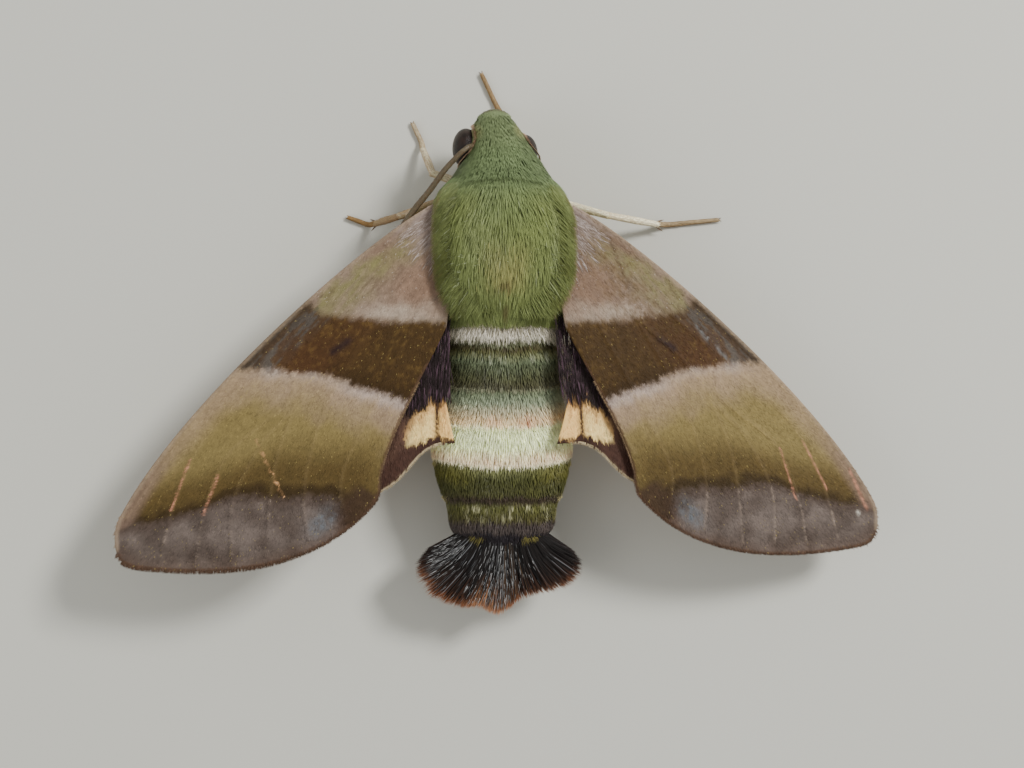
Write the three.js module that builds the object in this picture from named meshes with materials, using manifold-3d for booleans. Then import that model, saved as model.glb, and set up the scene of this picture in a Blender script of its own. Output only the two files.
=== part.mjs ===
// A hummingbird hawk moth, life size, resting flat with its wings swept back.
// Millimetres. +Y runs from the tail to the head, +X is the animal's right, +Z is up.
import * as THREE from 'three';
import { mergeVertices } from 'three/addons/utils/BufferGeometryUtils.js';
import Module from 'manifold-3d';

const wasm = await Module();
wasm.setup();

// Clearances between neighbouring solids.
const FIT_GAP = 0.3;
const SEAM_GAP = 0.1;

// Rings of the trunk: distance along Y, half width, top and bottom height.
const HEAD_RINGS = [
  { y: 7.75, halfWidth: 0.6, top: 6.0, bottom: 5.0 },
  { y: 7.4, halfWidth: 1.05, top: 6.42, bottom: 4.35 },
  { y: 6.8, halfWidth: 1.55, top: 6.85, bottom: 3.8 },
  { y: 6.0, halfWidth: 2.0, top: 7.3, bottom: 3.2 },
  { y: 4.8, halfWidth: 2.6, top: 7.9, bottom: 2.9 },
  { y: 3.5, halfWidth: 3.35, top: 8.4, bottom: 2.9 },
];
const THORAX_RINGS = [
  { y: 3.4, halfWidth: 3.4, top: 8.4, bottom: 2.8 },
  { y: 2.4, halfWidth: 4.2, top: 9.2, bottom: 2.0 },
  { y: 0.8, halfWidth: 4.6, top: 9.8, bottom: 1.3 },
  { y: -1.2, halfWidth: 4.6, top: 10.0, bottom: 1.1 },
  { y: -3.4, halfWidth: 4.5, top: 9.6, bottom: 1.2 },
  { y: -5.2, halfWidth: 4.15, top: 8.6, bottom: 1.4 },
  { y: -6.2, halfWidth: 3.85, top: 7.6, bottom: 1.6 },
];
const ABDOMEN_RINGS = [
  { y: -6.3, halfWidth: 3.9, top: 7.2, bottom: 1.4 },
  { y: -8.9, halfWidth: 3.95, top: 6.9, bottom: 1.1 },
  { y: -11.2, halfWidth: 4.15, top: 6.8, bottom: 0.95 },
  { y: -14.2, halfWidth: 4.7, top: 6.8, bottom: 0.9 },
  { y: -16.0, halfWidth: 4.45, top: 6.6, bottom: 1.1 },
  { y: -18.0, halfWidth: 3.75, top: 6.1, bottom: 1.6 },
  { y: -20.0, halfWidth: 3.1, top: 5.3, bottom: 2.3 },
];
const SEGMENT_ENDS = [-6.3, -7.4, -8.9, -10.5, -13.0, -15.4, -17.6, -19.9];
const SEGMENT_BULGE = 0.02;
const TRUNK_SIDES = 26;
// Bends of the trunk: how far head and abdomen lie off its middle line, and where each bend starts and ends.
const BENDS = [
  { shift: -0.43, start: 4.6, end: 7.3 },
  { shift: 0.15, start: -6.3, end: -9.0 },
];

// Eyes, feelers and mouth parts.
// The head is rolled and turned a little, so the left eye stands further out and further forward.
const EYE = { z: 4.9, halfDepth: 0.9, halfLength: 1.3, halfHeight: 1.5 };
const EYE_PLACES = { left: [-2.2, 5.45], right: [1.58, 5.1] };
const FEELER = {
  radius: 0.28, clubRadius: 0.34, clubStart: 0.3, clubEnd: 0.8, hookStart: 0.88, hookTaper: 0.45,
};
const FEELER_LEFT = [[-2.1, 5.3, 7.05], [-3.45, 4.1, 6.75], [-4.7, 2.5, 6.2], [-5.9, 1.0, 5.8],
  [-7.5, -1.7, 5.5], [-8.7, -3.6, 5.2], [-9.1, -4.5, 4.9]];
const FEELER_RIGHT = [[2.18, 4.9, 6.5], [2.74, 4.5, 5.5], [3.05, 3.95, 4.6], [3.45, 3.2, 4.0],
  [4.15, 2.2, 3.7], [4.75, 0.8, 3.65], [5.4, -1.4, 3.8], [6.0, -2.6, 3.9]];
const PALP = {
  x: 0.74, radius: 0.62, endShare: 0.75, path: [[5.1, 2.3], [6.3, 2.75], [6.95, 3.5], [7.3, 4.4]],
};
const PROBOSCIS = { y: 4.75, z: 1.55, radius: 1.0, pitch: 0.72, turns: 1.15, tubeRadius: 0.25 };

// Wings. Each frame starts at the hinge: u runs along the wing, v back towards the tail.
const WING_ROOT = { x: 4.2, y: 1.2, z: 7.55 };
const WING_THICKNESS = 0.5;
const WING_DROOP = 0.6;
const WING_DROOP_CENTRE = 8.0;
const WING_DROOP_REACH = 10.0;
const HINDWING_ROOT = { x: 4.1, y: -1.6 };
const HINDWING_DROP = WING_THICKNESS + FIT_GAP;
const SIDES = [
  { name: 'left', sign: -1, sweep: 47.5, slope: 3.5, hindTurn: 0, innerReach: 1 },
  { name: 'right', sign: 1, sweep: 45.2, slope: 8.5, hindTurn: 4.5, innerReach: 1.6 },
];

// Shoulder plates over the wing hinges.
const TEGULA = { x: 3.55, y: -1.5, z: 8.05, halfWidth: 1.08, halfLength: 3.6, halfHeight: 1.15 };

// Tail fan: three lobes of long scales.
const FAN = { y: -20.0, z: 3.8, rootThickness: 2.0, tipThickness: 0.7, length: 5.2 };

// Legs. Points are hip, knee, ankle, where the foot meets the ground, and toe.
const FEMUR = { hipRadius: 0.42, kneeRadius: 0.32 };
const TIBIA = { kneeRadius: 0.33, ankleRadius: 0.3 };
const TARSUS_RADIUS = 0.26;
const KNEE_GAP = 0.18;
const LEGS = {
  leg_fore_left: [[-1.5, 3.3, 2.4], [-4.4, 4.1, 2.5], [-5.0, 5.9, 0.75], [-5.15, 6.6], [-5.65, 7.7]],
  leg_fore_right: [[1.5, 3.3, 2.4], [2.2, 5.7, 1.8], [0.6, 8.0, 0.85], [0.0, 9.2], [-0.95, 11.2]],
  leg_mid_left: [[-2.6, 2.6, 2.2], [-6.7, 1.1, 3.5], [-8.2, 0.9, 0.85], [-8.8, 0.9], [-9.95, 1.3]],
  leg_mid_right: [[2.6, 2.6, 2.2], [7.3, 1.3, 3.4], [11.0, 1.0, 0.85], [12.0, 1.05], [15.4, 1.4]],
  leg_hind_left: [[-2.2, -2.6, 1.7], [-5.6, -6.2, 3.4], [-8.4, -10.8, 0.85], [-8.9, -11.6], [-10.3, -14.0]],
  leg_hind_right: [[2.2, -2.6, 1.7], [5.6, -6.2, 3.2], [8.6, -10.8, 0.85], [9.1, -11.6], [10.6, -14.0]],
};

const COLOURS = {
  coat: 0x6f7c46,
  band: 0xbfc6a4,
  olive: 0x55572c,
  fan: 0x1d1c1e,
  wing: 0x8a7a5c,
  hindwing: 0x4a3430,
  leg: 0xcbb68a,
  feeler: 0xa58d80,
  eye: 0x2a1a18,
};

// ---- shared geometry ----

const UP = new THREE.Vector3(0, 0, 1);
const ROD_SIDES = 8;
const ROD_END = 0.55;
const ROUND_SEGMENTS = 14;
const ROUND_RINGS = 10;
const HALVINGS = 30;

function bufferFrom(positions, triangles) {
  const geometry = new THREE.BufferGeometry();
  geometry.setAttribute('position', new THREE.Float32BufferAttribute(positions, 3));
  geometry.setIndex(triangles);
  geometry.computeVertexNormals();
  return geometry;
}

// Skins a row of equal rings and closes both ends on their centres.
function loft(rings) {
  const count = rings[0].length;
  const positions = rings.flat().flatMap((point) => point.toArray());
  const triangles = [];
  for (let k = 0; k < rings.length - 1; k += 1) {
    for (let i = 0; i < count; i += 1) {
      const next = (i + 1) % count;
      const a = k * count;
      const b = a + count;
      triangles.push(a + i, a + next, b + next, a + i, b + next, b + i);
    }
  }
  const last = (rings.length - 1) * count;
  const ends = [[rings[0], 0, true], [rings[rings.length - 1], last, false]];
  for (const [ring, offset, isStart] of ends) {
    const centre = new THREE.Vector3();
    ring.forEach((point) => centre.addScaledVector(point, 1 / count));
    const hub = positions.length / 3;
    positions.push(...centre.toArray());
    for (let i = 0; i < count; i += 1) {
      const next = (i + 1) % count;
      if (isStart) triangles.push(hub, offset + next, offset + i);
      else triangles.push(hub, offset + i, offset + next);
    }
  }
  return bufferFrom(positions, triangles);
}

// Value of a named field at y, on a smooth curve through the rings of the trunk.
function fieldAt(rings, field, y) {
  const curve = new THREE.SplineCurve(rings.map((ring) => new THREE.Vector2(ring.y, ring[field])));
  let low = 0;
  let high = 1;
  for (let i = 0; i < HALVINGS; i += 1) {
    const middle = (low + high) / 2;
    if (curve.getPoint(middle).x > y) low = middle;
    else high = middle;
  }
  return curve.getPoint((low + high) / 2).y;
}

// One oval cross-section of the trunk, widened by grow on every side.
function trunkRing(rings, y, grow = 0, swell = 1) {
  const halfWidth = fieldAt(rings, 'halfWidth', y) * swell + grow;
  const top = fieldAt(rings, 'top', y);
  const bottom = fieldAt(rings, 'bottom', y);
  const centreZ = (top + bottom) / 2;
  const halfHeight = ((top - bottom) / 2) * swell + grow;
  const ring = [];
  for (let i = 0; i < TRUNK_SIDES; i += 1) {
    const angle = (i / TRUNK_SIDES) * 2 * Math.PI;
    ring.push(new THREE.Vector3(halfWidth * Math.cos(angle), y, centreZ + halfHeight * Math.sin(angle)));
  }
  return ring;
}

// A length of the trunk, from the front to the rear of its rings unless told otherwise.
function trunk(rings, steps, { front = rings[0].y, rear = rings.at(-1).y, grow = 0, bulge = 0 } = {}) {
  const row = [];
  for (let k = 0; k <= steps; k += 1) {
    const t = k / steps;
    const y = THREE.MathUtils.lerp(front, rear, t);
    row.push(trunkRing(rings, y, grow, 1 + bulge * Math.sin(Math.PI * t)));
  }
  return loft(row);
}

function toSolid(geometry) {
  const bare = geometry.clone();
  bare.deleteAttribute('normal');
  if (bare.getAttribute('uv')) bare.deleteAttribute('uv');
  const merged = mergeVertices(bare, 1e-5);
  const vertProperties = new Float32Array(merged.getAttribute('position').array);
  const triVerts = new Uint32Array(merged.getIndex().array);
  return new wasm.Manifold(new wasm.Mesh({ numProp: 3, vertProperties, triVerts }));
}

// Cuts the space of its neighbours out of a piece.
function carve(geometry, ...cutters) {
  const solid = cutters.reduce((rest, cutter) => rest.subtract(toSolid(cutter)), toSolid(geometry));
  const { vertProperties, triVerts } = solid.getMesh();
  return bufferFrom(Array.from(vertProperties), Array.from(triVerts));
}

function ellipsoid(centre, radii) {
  const geometry = new THREE.SphereGeometry(1, ROUND_SEGMENTS, ROUND_RINGS);
  geometry.scale(...radii);
  geometry.translate(...centre);
  return geometry;
}

// A round-ended rod along a smooth path. Flat sides face up and down, so it lies level on a floor.
function rod(points, radiusAt, steps, { floor = false, upright = UP } = {}) {
  const curve = new THREE.CatmullRomCurve3(points.map((point) => new THREE.Vector3(...point)));
  const rounding = (radiusAt(0) * ROD_END) / curve.getLength();
  const stations = [0];
  for (let k = 0; k <= steps; k += 1) stations.push(THREE.MathUtils.lerp(rounding, 1 - rounding, k / steps));
  stations.push(1);
  const places = stations.map((t) => {
    const place = curve.getPointAt(t);
    if (floor) place.z = Math.max(place.z, radiusAt(t));
    return place;
  });
  const final = places.length - 1;
  const rings = places.map((place, k) => {
    const before = places[Math.max(k - 1, 0)];
    const after = places[Math.min(k + 1, final)];
    const along = after.clone().sub(before).normalize();
    const across = upright.clone().cross(along).normalize();
    const up = along.clone().cross(across);
    const isEnd = k === 0 || k === final;
    const apothem = radiusAt(stations[k]) * (isEnd ? ROD_END : 1);
    const corner = apothem / Math.cos(Math.PI / ROD_SIDES);
    const ring = [];
    for (let i = 0; i < ROD_SIDES; i += 1) {
      const angle = ((i + 0.5) / ROD_SIDES) * 2 * Math.PI;
      ring.push(place.clone()
        .addScaledVector(across, corner * Math.cos(angle))
        .addScaledVector(up, corner * Math.sin(angle)));
    }
    return ring;
  });
  return loft(rings);
}

// ---- trunk ----

const HEAD_STEPS = 6;
const THORAX_STEPS = 9;
const LONG_SEGMENT = 2;
const thoraxSpace = trunk(THORAX_RINGS, THORAX_STEPS, { grow: FIT_GAP });
const headSpace = trunk(HEAD_RINGS, HEAD_STEPS, { grow: FIT_GAP });

function makeEye(name, grow = 0) {
  const radii = [EYE.halfDepth + grow, EYE.halfLength + grow, EYE.halfHeight + grow];
  return ellipsoid([...EYE_PLACES[name], EYE.z], radii);
}

function makeHead() {
  const whole = trunk(HEAD_RINGS, HEAD_STEPS);
  const bedded = makeFeeler(FEELER_RIGHT, FIT_GAP);
  return carve(whole, makeEye('left', FIT_GAP), makeEye('right', FIT_GAP), bedded);
}

function makeSegment(index) {
  const front = SEGMENT_ENDS[index];
  const rear = SEGMENT_ENDS[index + 1] + SEAM_GAP;
  const steps = front - rear > LONG_SEGMENT ? 3 : 2;
  return trunk(ABDOMEN_RINGS, steps, { front, rear, bulge: SEGMENT_BULGE });
}

// A lobe of the tail fan, cut flat from its outline and thinned towards the tips.
function makeFanLobe(outline) {
  const shape = new THREE.Shape();
  shape.moveTo(...outline[0]);
  shape.splineThru(outline.slice(1).map(([x, y]) => new THREE.Vector2(x, y)));
  shape.closePath();
  const geometry = new THREE.ExtrudeGeometry(shape, { depth: 1, bevelEnabled: false, curveSegments: 2 });
  const position = geometry.getAttribute('position');
  for (let i = 0; i < position.count; i += 1) {
    const reach = THREE.MathUtils.clamp(-position.getY(i) / FAN.length, 0, 1);
    const thickness = THREE.MathUtils.lerp(FAN.rootThickness, FAN.tipThickness, reach);
    position.setY(i, FAN.y + position.getY(i));
    position.setZ(i, FAN.z + (position.getZ(i) - 0.5) * thickness);
  }
  return geometry;
}

const FAN_LOBES = {
  fan_left: [[-0.95, 0], [-1.45, -2.1], [-1.85, -4.5], [-3.9, -4.0], [-5.1, -3.0], [-5.45, -1.75],
    [-4.75, -0.75], [-2.9, 0]],
  fan_middle: [[0.8, 0], [1.15, -2.1], [1.3, -4.0], [-0.05, -5.2], [-1.6, -4.7], [-1.15, -2.1], [-0.8, 0]],
  fan_right: [[2.9, 0], [4.3, -0.6], [5.3, -1.55], [5.25, -2.7], [4.0, -3.5], [1.65, -3.95], [1.45, -2.1],
    [0.95, 0]],
};

// ---- wings ----

const vector = ([u, v]) => new THREE.Vector2(u, v);
const cubic = (...points) => new THREE.CubicBezierCurve(...points.map(vector));
const quadratic = (...points) => new THREE.QuadraticBezierCurve(...points.map(vector));
const line = (...points) => new THREE.LineCurve(...points.map(vector));

function path(...curves) {
  const whole = new THREE.CurvePath();
  curves.forEach((curve) => whole.add(curve));
  return whole;
}

// Front edge and rear edge of each wing, both from the base to the tip.
const FOREWING = {
  front: path(
    cubic([0, -0.45], [5.5, -2.3], [21.5, -3.7], [28.6, -1.5]),
    quadratic([28.6, -1.5], [29.7, -0.9], [30.1, 0]),
  ),
  rear: path(
    line([0.4, 2.2], [5.2, 5.5]),
    cubic([5.2, 5.5], [9.0, 6.7], [12.6, 7.3], [15.2, 8.9]),
    quadratic([15.2, 8.9], [15.9, 9.75], [16.8, 9.75]),
    cubic([16.8, 9.75], [22.8, 9.9], [27.0, 5.0], [29.4, 1.9]),
    quadratic([29.4, 1.9], [30.2, 0.9], [30.2, 0.4]),
  ),
  lengthSteps: 22,
};
// The hindwing's u runs straight out from the trunk.
const HINDWING = {
  front: path(
    cubic([0, 0], [4.0, 2.5], [9.8, 8.0], [12.0, 12.0]),
  ),
  rear: path(
    line([0.1, 2.4], [0.15, 5.0]),
    quadratic([0.15, 5.0], [-0.1, 8.6], [-1.0, 12.2]),
    cubic([-1.0, 12.2], [1.6, 12.0], [1.6, 14.2], [3.6, 15.2]),
    cubic([3.6, 15.2], [7.0, 17.0], [11.8, 15.6], [12.1, 12.6]),
  ),
  lengthSteps: 16,
};
const CHORD_STEPS = 4;

// Place on the ground plane of a point of a wing's own frame. On one side the inner flap reaches further in.
function wingPlace(side, root, turn, u, v) {
  const angle = THREE.MathUtils.degToRad(turn);
  const along = u < 0 ? u * side.innerReach : u;
  const outward = root.x + along * Math.cos(angle) - v * Math.sin(angle);
  const forward = root.y - along * Math.sin(angle) - v * Math.cos(angle);
  return new THREE.Vector2(side.sign * outward, forward);
}

// Height of the middle of the forewing: a gentle roof with a drooping front edge.
function wingHeight(side, place) {
  const angle = THREE.MathUtils.degToRad(side.sweep);
  const outward = Math.abs(place.x) - WING_ROOT.x;
  const forward = place.y - WING_ROOT.y;
  const back = -outward * Math.sin(angle) - forward * Math.cos(angle);
  const droop = WING_DROOP * Math.min((back - WING_DROOP_CENTRE) / WING_DROOP_REACH, 0) ** 2;
  return WING_ROOT.z - outward * Math.tan(THREE.MathUtils.degToRad(side.slope)) - droop;
}

// A wing as a thin curved plate between its two edges.
function wingPlate(wing, side, root, turn, above, below) {
  const columns = wing.lengthSteps + 1;
  const rows = CHORD_STEPS + 1;
  const layer = (offset) => {
    const points = [];
    for (let k = 0; k < columns; k += 1) {
      const front = wing.front.getPointAt(k / wing.lengthSteps);
      const rear = wing.rear.getPointAt(k / wing.lengthSteps);
      for (let j = 0; j < rows; j += 1) {
        const own = front.clone().lerp(rear, j / CHORD_STEPS);
        const place = wingPlace(side, root, turn, own.x, own.y);
        points.push(place.x, place.y, wingHeight(side, place) + offset);
      }
    }
    return points;
  };
  const positions = [...layer(above), ...layer(-below)];
  const under = columns * rows;
  const triangles = [];
  const quad = (a, b, c, d) => {
    if (side.sign > 0) triangles.push(a, b, c, a, c, d);
    else triangles.push(a, c, b, a, d, c);
  };
  for (let k = 0; k < columns - 1; k += 1) {
    for (let j = 0; j < rows - 1; j += 1) {
      const a = k * rows + j;
      quad(a, a + 1, a + rows + 1, a + rows);
      quad(under + a, under + a + rows, under + a + rows + 1, under + a + 1);
    }
    const front = k * rows;
    const rear = front + rows - 1;
    quad(front, front + rows, under + front + rows, under + front);
    quad(rear + rows, rear, under + rear, under + rear + rows);
  }
  const tip = (columns - 1) * rows;
  for (let j = 0; j < rows - 1; j += 1) {
    quad(j + 1, j, under + j, under + j + 1);
    quad(tip + j, tip + j + 1, under + tip + j + 1, under + tip + j);
  }
  return bufferFrom(positions, triangles);
}

function makeForewing(side, above = WING_THICKNESS / 2, below = WING_THICKNESS / 2) {
  return wingPlate(FOREWING, side, WING_ROOT, side.sweep, above, below);
}

function makeHindwing(side) {
  const above = WING_THICKNESS / 2 - HINDWING_DROP;
  const below = WING_THICKNESS / 2 + HINDWING_DROP;
  return wingPlate(HINDWING, side, HINDWING_ROOT, -side.hindTurn, above, below);
}

function makeTegula(side) {
  const centre = [side.sign * TEGULA.x, TEGULA.y, TEGULA.z];
  const dome = ellipsoid(centre, [TEGULA.halfWidth, TEGULA.halfLength, TEGULA.halfHeight]);
  const wingSpace = makeForewing(side, WING_THICKNESS / 2 + FIT_GAP, TEGULA.halfHeight * 2);
  return carve(dome, thoraxSpace, wingSpace);
}

// ---- feelers and mouth parts ----

const FEELER_STEPS = 14;
const PALP_STEPS = 6;
const PROBOSCIS_STEPS = 18;

function makeFeeler(points, grow = 0) {
  const radiusAt = (t) => {
    const club = THREE.MathUtils.smoothstep(t, FEELER.clubStart, FEELER.clubEnd);
    const hook = 1 - FEELER.hookTaper * THREE.MathUtils.smoothstep(t, FEELER.hookStart, 1);
    return THREE.MathUtils.lerp(FEELER.radius, FEELER.clubRadius, club) * hook + grow;
  };
  return rod(points, radiusAt, FEELER_STEPS);
}

function makePalp(sign) {
  const points = PALP.path.map(([y, z]) => [sign * PALP.x, y, z]);
  const radiusAt = (t) => PALP.radius * THREE.MathUtils.lerp(PALP.endShare, 1, Math.sin(Math.PI * t));
  return carve(rod(points, radiusAt, PALP_STEPS), headSpace);
}

// The coiled tongue, wound like a watch spring between the palps.
function makeProboscis() {
  const points = [];
  for (let k = 0; k <= PROBOSCIS_STEPS; k += 1) {
    const turn = (k / PROBOSCIS_STEPS) * PROBOSCIS.turns;
    const radius = PROBOSCIS.radius - PROBOSCIS.pitch * turn;
    const angle = Math.PI / 2 - turn * 2 * Math.PI;
    points.push([0, PROBOSCIS.y + radius * Math.cos(angle), PROBOSCIS.z + radius * Math.sin(angle)]);
  }
  const acrossCoil = new THREE.Vector3(1, 0, 0);
  return rod(points, () => PROBOSCIS.tubeRadius, PROBOSCIS_STEPS, { upright: acrossCoil });
}

// ---- legs ----

// Ends of a leg length, pulled back from its joints.
function shorten(from, to, startGap, endGap) {
  const start = new THREE.Vector3(...from);
  const end = new THREE.Vector3(...to);
  const along = end.clone().sub(start).normalize();
  start.addScaledVector(along, startGap);
  end.addScaledVector(along, -endGap);
  return [start.toArray(), end.toArray()];
}

const STRAIGHT_STEPS = 2;
const TARSUS_STEPS = 6;

function makeFemur([hip, knee]) {
  const radiusAt = (t) => THREE.MathUtils.lerp(FEMUR.hipRadius, FEMUR.kneeRadius, t);
  return carve(rod(shorten(hip, knee, 0, KNEE_GAP), radiusAt, STRAIGHT_STEPS), thoraxSpace);
}

function makeTibia([, knee, ankle]) {
  const radiusAt = (t) => THREE.MathUtils.lerp(TIBIA.kneeRadius, TIBIA.ankleRadius, t);
  return rod(shorten(knee, ankle, KNEE_GAP, KNEE_GAP / 2), radiusAt, STRAIGHT_STEPS);
}

function makeTarsus([, , ankle, landing, toe]) {
  const [start] = shorten(ankle, [...landing, TARSUS_RADIUS], KNEE_GAP, 0);
  const middle = landing.map((value, axis) => (value + toe[axis]) / 2);
  const points = [start, [...landing, TARSUS_RADIUS], [...middle, TARSUS_RADIUS], [...toe, TARSUS_RADIUS]];
  return rod(points, () => TARSUS_RADIUS, TARSUS_STEPS, { floor: true });
}

// ---- assembly ----

const moth = new THREE.Group();

const MATT = 0.8;
const WET = 0.15;

function add(name, geometry, colour, roughness = MATT) {
  const material = new THREE.MeshStandardMaterial({ color: colour, roughness, metalness: 0 });
  const mesh = new THREE.Mesh(geometry, material);
  mesh.name = name;
  moth.add(mesh);
}

// A piece of the trunk, moved sideways with its bends.
function bent(geometry) {
  const position = geometry.getAttribute('position');
  for (let i = 0; i < position.count; i += 1) {
    const y = position.getY(i);
    const shift = BENDS.reduce((sum, bend) => {
      const share = THREE.MathUtils.clamp((y - bend.start) / (bend.end - bend.start), 0, 1);
      return sum + bend.shift * share * share * (3 - 2 * share);
    }, 0);
    position.setX(i, position.getX(i) + shift);
  }
  geometry.computeVertexNormals();
  return geometry;
}

add('head', bent(makeHead()), COLOURS.coat);
add('thorax', trunk(THORAX_RINGS, THORAX_STEPS), COLOURS.coat);
const SEGMENT_COLOURS = ['band', 'coat', 'olive', 'coat', 'band', 'olive', 'olive'];
SEGMENT_COLOURS.forEach((colour, index) => {
  add(`abdomen_${index + 1}`, bent(makeSegment(index)), COLOURS[colour]);
});
Object.entries(FAN_LOBES).forEach(([name, outline]) => {
  add(name, bent(makeFanLobe(outline)), COLOURS.fan);
});
SIDES.forEach((side) => {
  add(`eye_${side.name}`, bent(makeEye(side.name)), COLOURS.eye, WET);
  add(`palp_${side.name}`, bent(makePalp(side.sign)), COLOURS.coat);
  add(`tegula_${side.name}`, makeTegula(side), COLOURS.coat);
  add(`forewing_${side.name}`, carve(makeForewing(side), thoraxSpace), COLOURS.wing);
  add(`hindwing_${side.name}`, carve(makeHindwing(side), thoraxSpace), COLOURS.hindwing);
});
add('feeler_left', bent(makeFeeler(FEELER_LEFT)), COLOURS.feeler);
add('feeler_right', bent(makeFeeler(FEELER_RIGHT)), COLOURS.feeler);
add('proboscis', bent(makeProboscis()), COLOURS.leg);
Object.entries(LEGS).forEach(([name, points]) => {
  add(`${name}_femur`, makeFemur(points), COLOURS.leg);
  add(`${name}_tibia`, makeTibia(points), COLOURS.leg);
  add(`${name}_tarsus`, makeTarsus(points), COLOURS.leg);
});

// The origin is the middle of the footprint, at floor level.
const box = new THREE.Box3().setFromObject(moth);
const middle = box.getCenter(new THREE.Vector3());
moth.position.set(-middle.x, -middle.y, 0);

export default moth;
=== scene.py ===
"""A hummingbird hawk moth at rest with its wings swept back, life size, as a museum model."""

import math

import bpy
import numpy as np
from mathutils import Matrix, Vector


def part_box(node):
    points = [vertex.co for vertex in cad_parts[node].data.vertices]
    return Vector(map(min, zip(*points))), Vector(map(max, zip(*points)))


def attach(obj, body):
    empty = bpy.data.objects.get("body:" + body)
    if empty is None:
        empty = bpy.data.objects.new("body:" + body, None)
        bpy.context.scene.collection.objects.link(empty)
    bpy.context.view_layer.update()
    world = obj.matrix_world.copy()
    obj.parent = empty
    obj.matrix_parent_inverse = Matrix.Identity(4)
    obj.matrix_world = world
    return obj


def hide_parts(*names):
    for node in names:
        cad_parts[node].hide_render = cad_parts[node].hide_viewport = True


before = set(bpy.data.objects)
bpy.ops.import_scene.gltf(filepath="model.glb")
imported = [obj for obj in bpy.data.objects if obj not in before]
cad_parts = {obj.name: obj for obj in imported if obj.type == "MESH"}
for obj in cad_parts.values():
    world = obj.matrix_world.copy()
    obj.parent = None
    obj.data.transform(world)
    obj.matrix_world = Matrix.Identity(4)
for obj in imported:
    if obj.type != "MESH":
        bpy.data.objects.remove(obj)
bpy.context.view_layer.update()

# ---- Floor, lamps and camera ----
# The moth rests on a plain pale floor. One soft lamp stands to its front right and a weak one opposite,
# and the camera looks down on its back, a little from its left.
MM = 0.001
# How far the front of the chest lies before the moth's own middle.
THORAX_FRONT = 3.4
thorax_low, thorax_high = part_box("thorax")
ORIGIN = np.array([
    (thorax_low[0] + thorax_high[0]) / 2, thorax_high[1] - THORAX_FRONT * MM, 0.0,
])


def srgb(red, green, blue):
    """A colour in scene values from its 0 to 255 screen values."""
    shares = [value / 255 for value in (red, green, blue)]
    return [s / 12.92 if s <= 0.04045 else ((s + 0.055) / 1.055) ** 2.4 for s in shares] + [1.0]


def in_scene(point):
    """A point given in millimetres on the moth's own axes, in scene metres."""
    return tuple(np.array(point, float) * MM + ORIGIN)


FLOOR_HALF = 400.0
floor_mesh = bpy.data.meshes.new("floor")
floor_corners = [(-FLOOR_HALF, -FLOOR_HALF, 0), (FLOOR_HALF, -FLOOR_HALF, 0),
                 (FLOOR_HALF, FLOOR_HALF, 0), (-FLOOR_HALF, FLOOR_HALF, 0)]
floor_mesh.from_pydata([in_scene(c) for c in floor_corners], [], [(0, 1, 2, 3)])
floor = bpy.data.objects.new("floor", floor_mesh)
bpy.context.scene.collection.objects.link(floor)
floor_paint = bpy.data.materials.new("floor paint")
floor_paint.use_nodes = True
floor_shader = floor_paint.node_tree.nodes["Principled BSDF"]
floor_shader.inputs["Base Color"].default_value = srgb(208, 207, 196)
floor_shader.inputs["Roughness"].default_value = 0.95
floor_mesh.materials.append(floor_paint)

VIEW_TILT = math.radians(4.5)
VIEW_TARGET = (0.65, -10.0, 6.0)
VIEW_DISTANCE = 100.0
CAMERA_LENS = 54.09
camera_data = bpy.data.cameras.new("camera")
camera_data.lens = CAMERA_LENS
camera_data.clip_start = 0.001
camera_data.clip_end = 10.0
camera = bpy.data.objects.new("camera", camera_data)
camera.location = in_scene((
    VIEW_TARGET[0] - VIEW_DISTANCE * math.sin(VIEW_TILT), VIEW_TARGET[1],
    VIEW_TARGET[2] + VIEW_DISTANCE * math.cos(VIEW_TILT),
))
camera.rotation_euler = (0, -VIEW_TILT, 0)
bpy.context.scene.collection.objects.link(camera)
bpy.context.scene.camera = camera


LAMP_AIM = (0, -6, 4)


def hang_lamp(name, place, size, power):
    """A square soft lamp that faces the middle of the moth."""
    data = bpy.data.lights.new(name, "AREA")
    data.shape = "SQUARE"
    data.size = size * MM
    data.energy = power
    lamp = bpy.data.objects.new(name, data)
    lamp.location = in_scene(place)
    reach = lamp.location - Vector(in_scene(LAMP_AIM))
    lamp.rotation_euler = reach.to_track_quat("Z", "Y").to_euler()
    bpy.context.scene.collection.objects.link(lamp)


hang_lamp("key lamp", place=(175, 125, 215), size=70, power=0.94)
hang_lamp("low lamp", place=(-190, -60, 150), size=150, power=0.13)
world = bpy.data.worlds.new("studio")
world.use_nodes = True
sky = world.node_tree.nodes["Background"]
sky.inputs["Color"].default_value = (1, 1, 1, 1)
sky.inputs["Strength"].default_value = 0.55
bpy.context.scene.world = world

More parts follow.
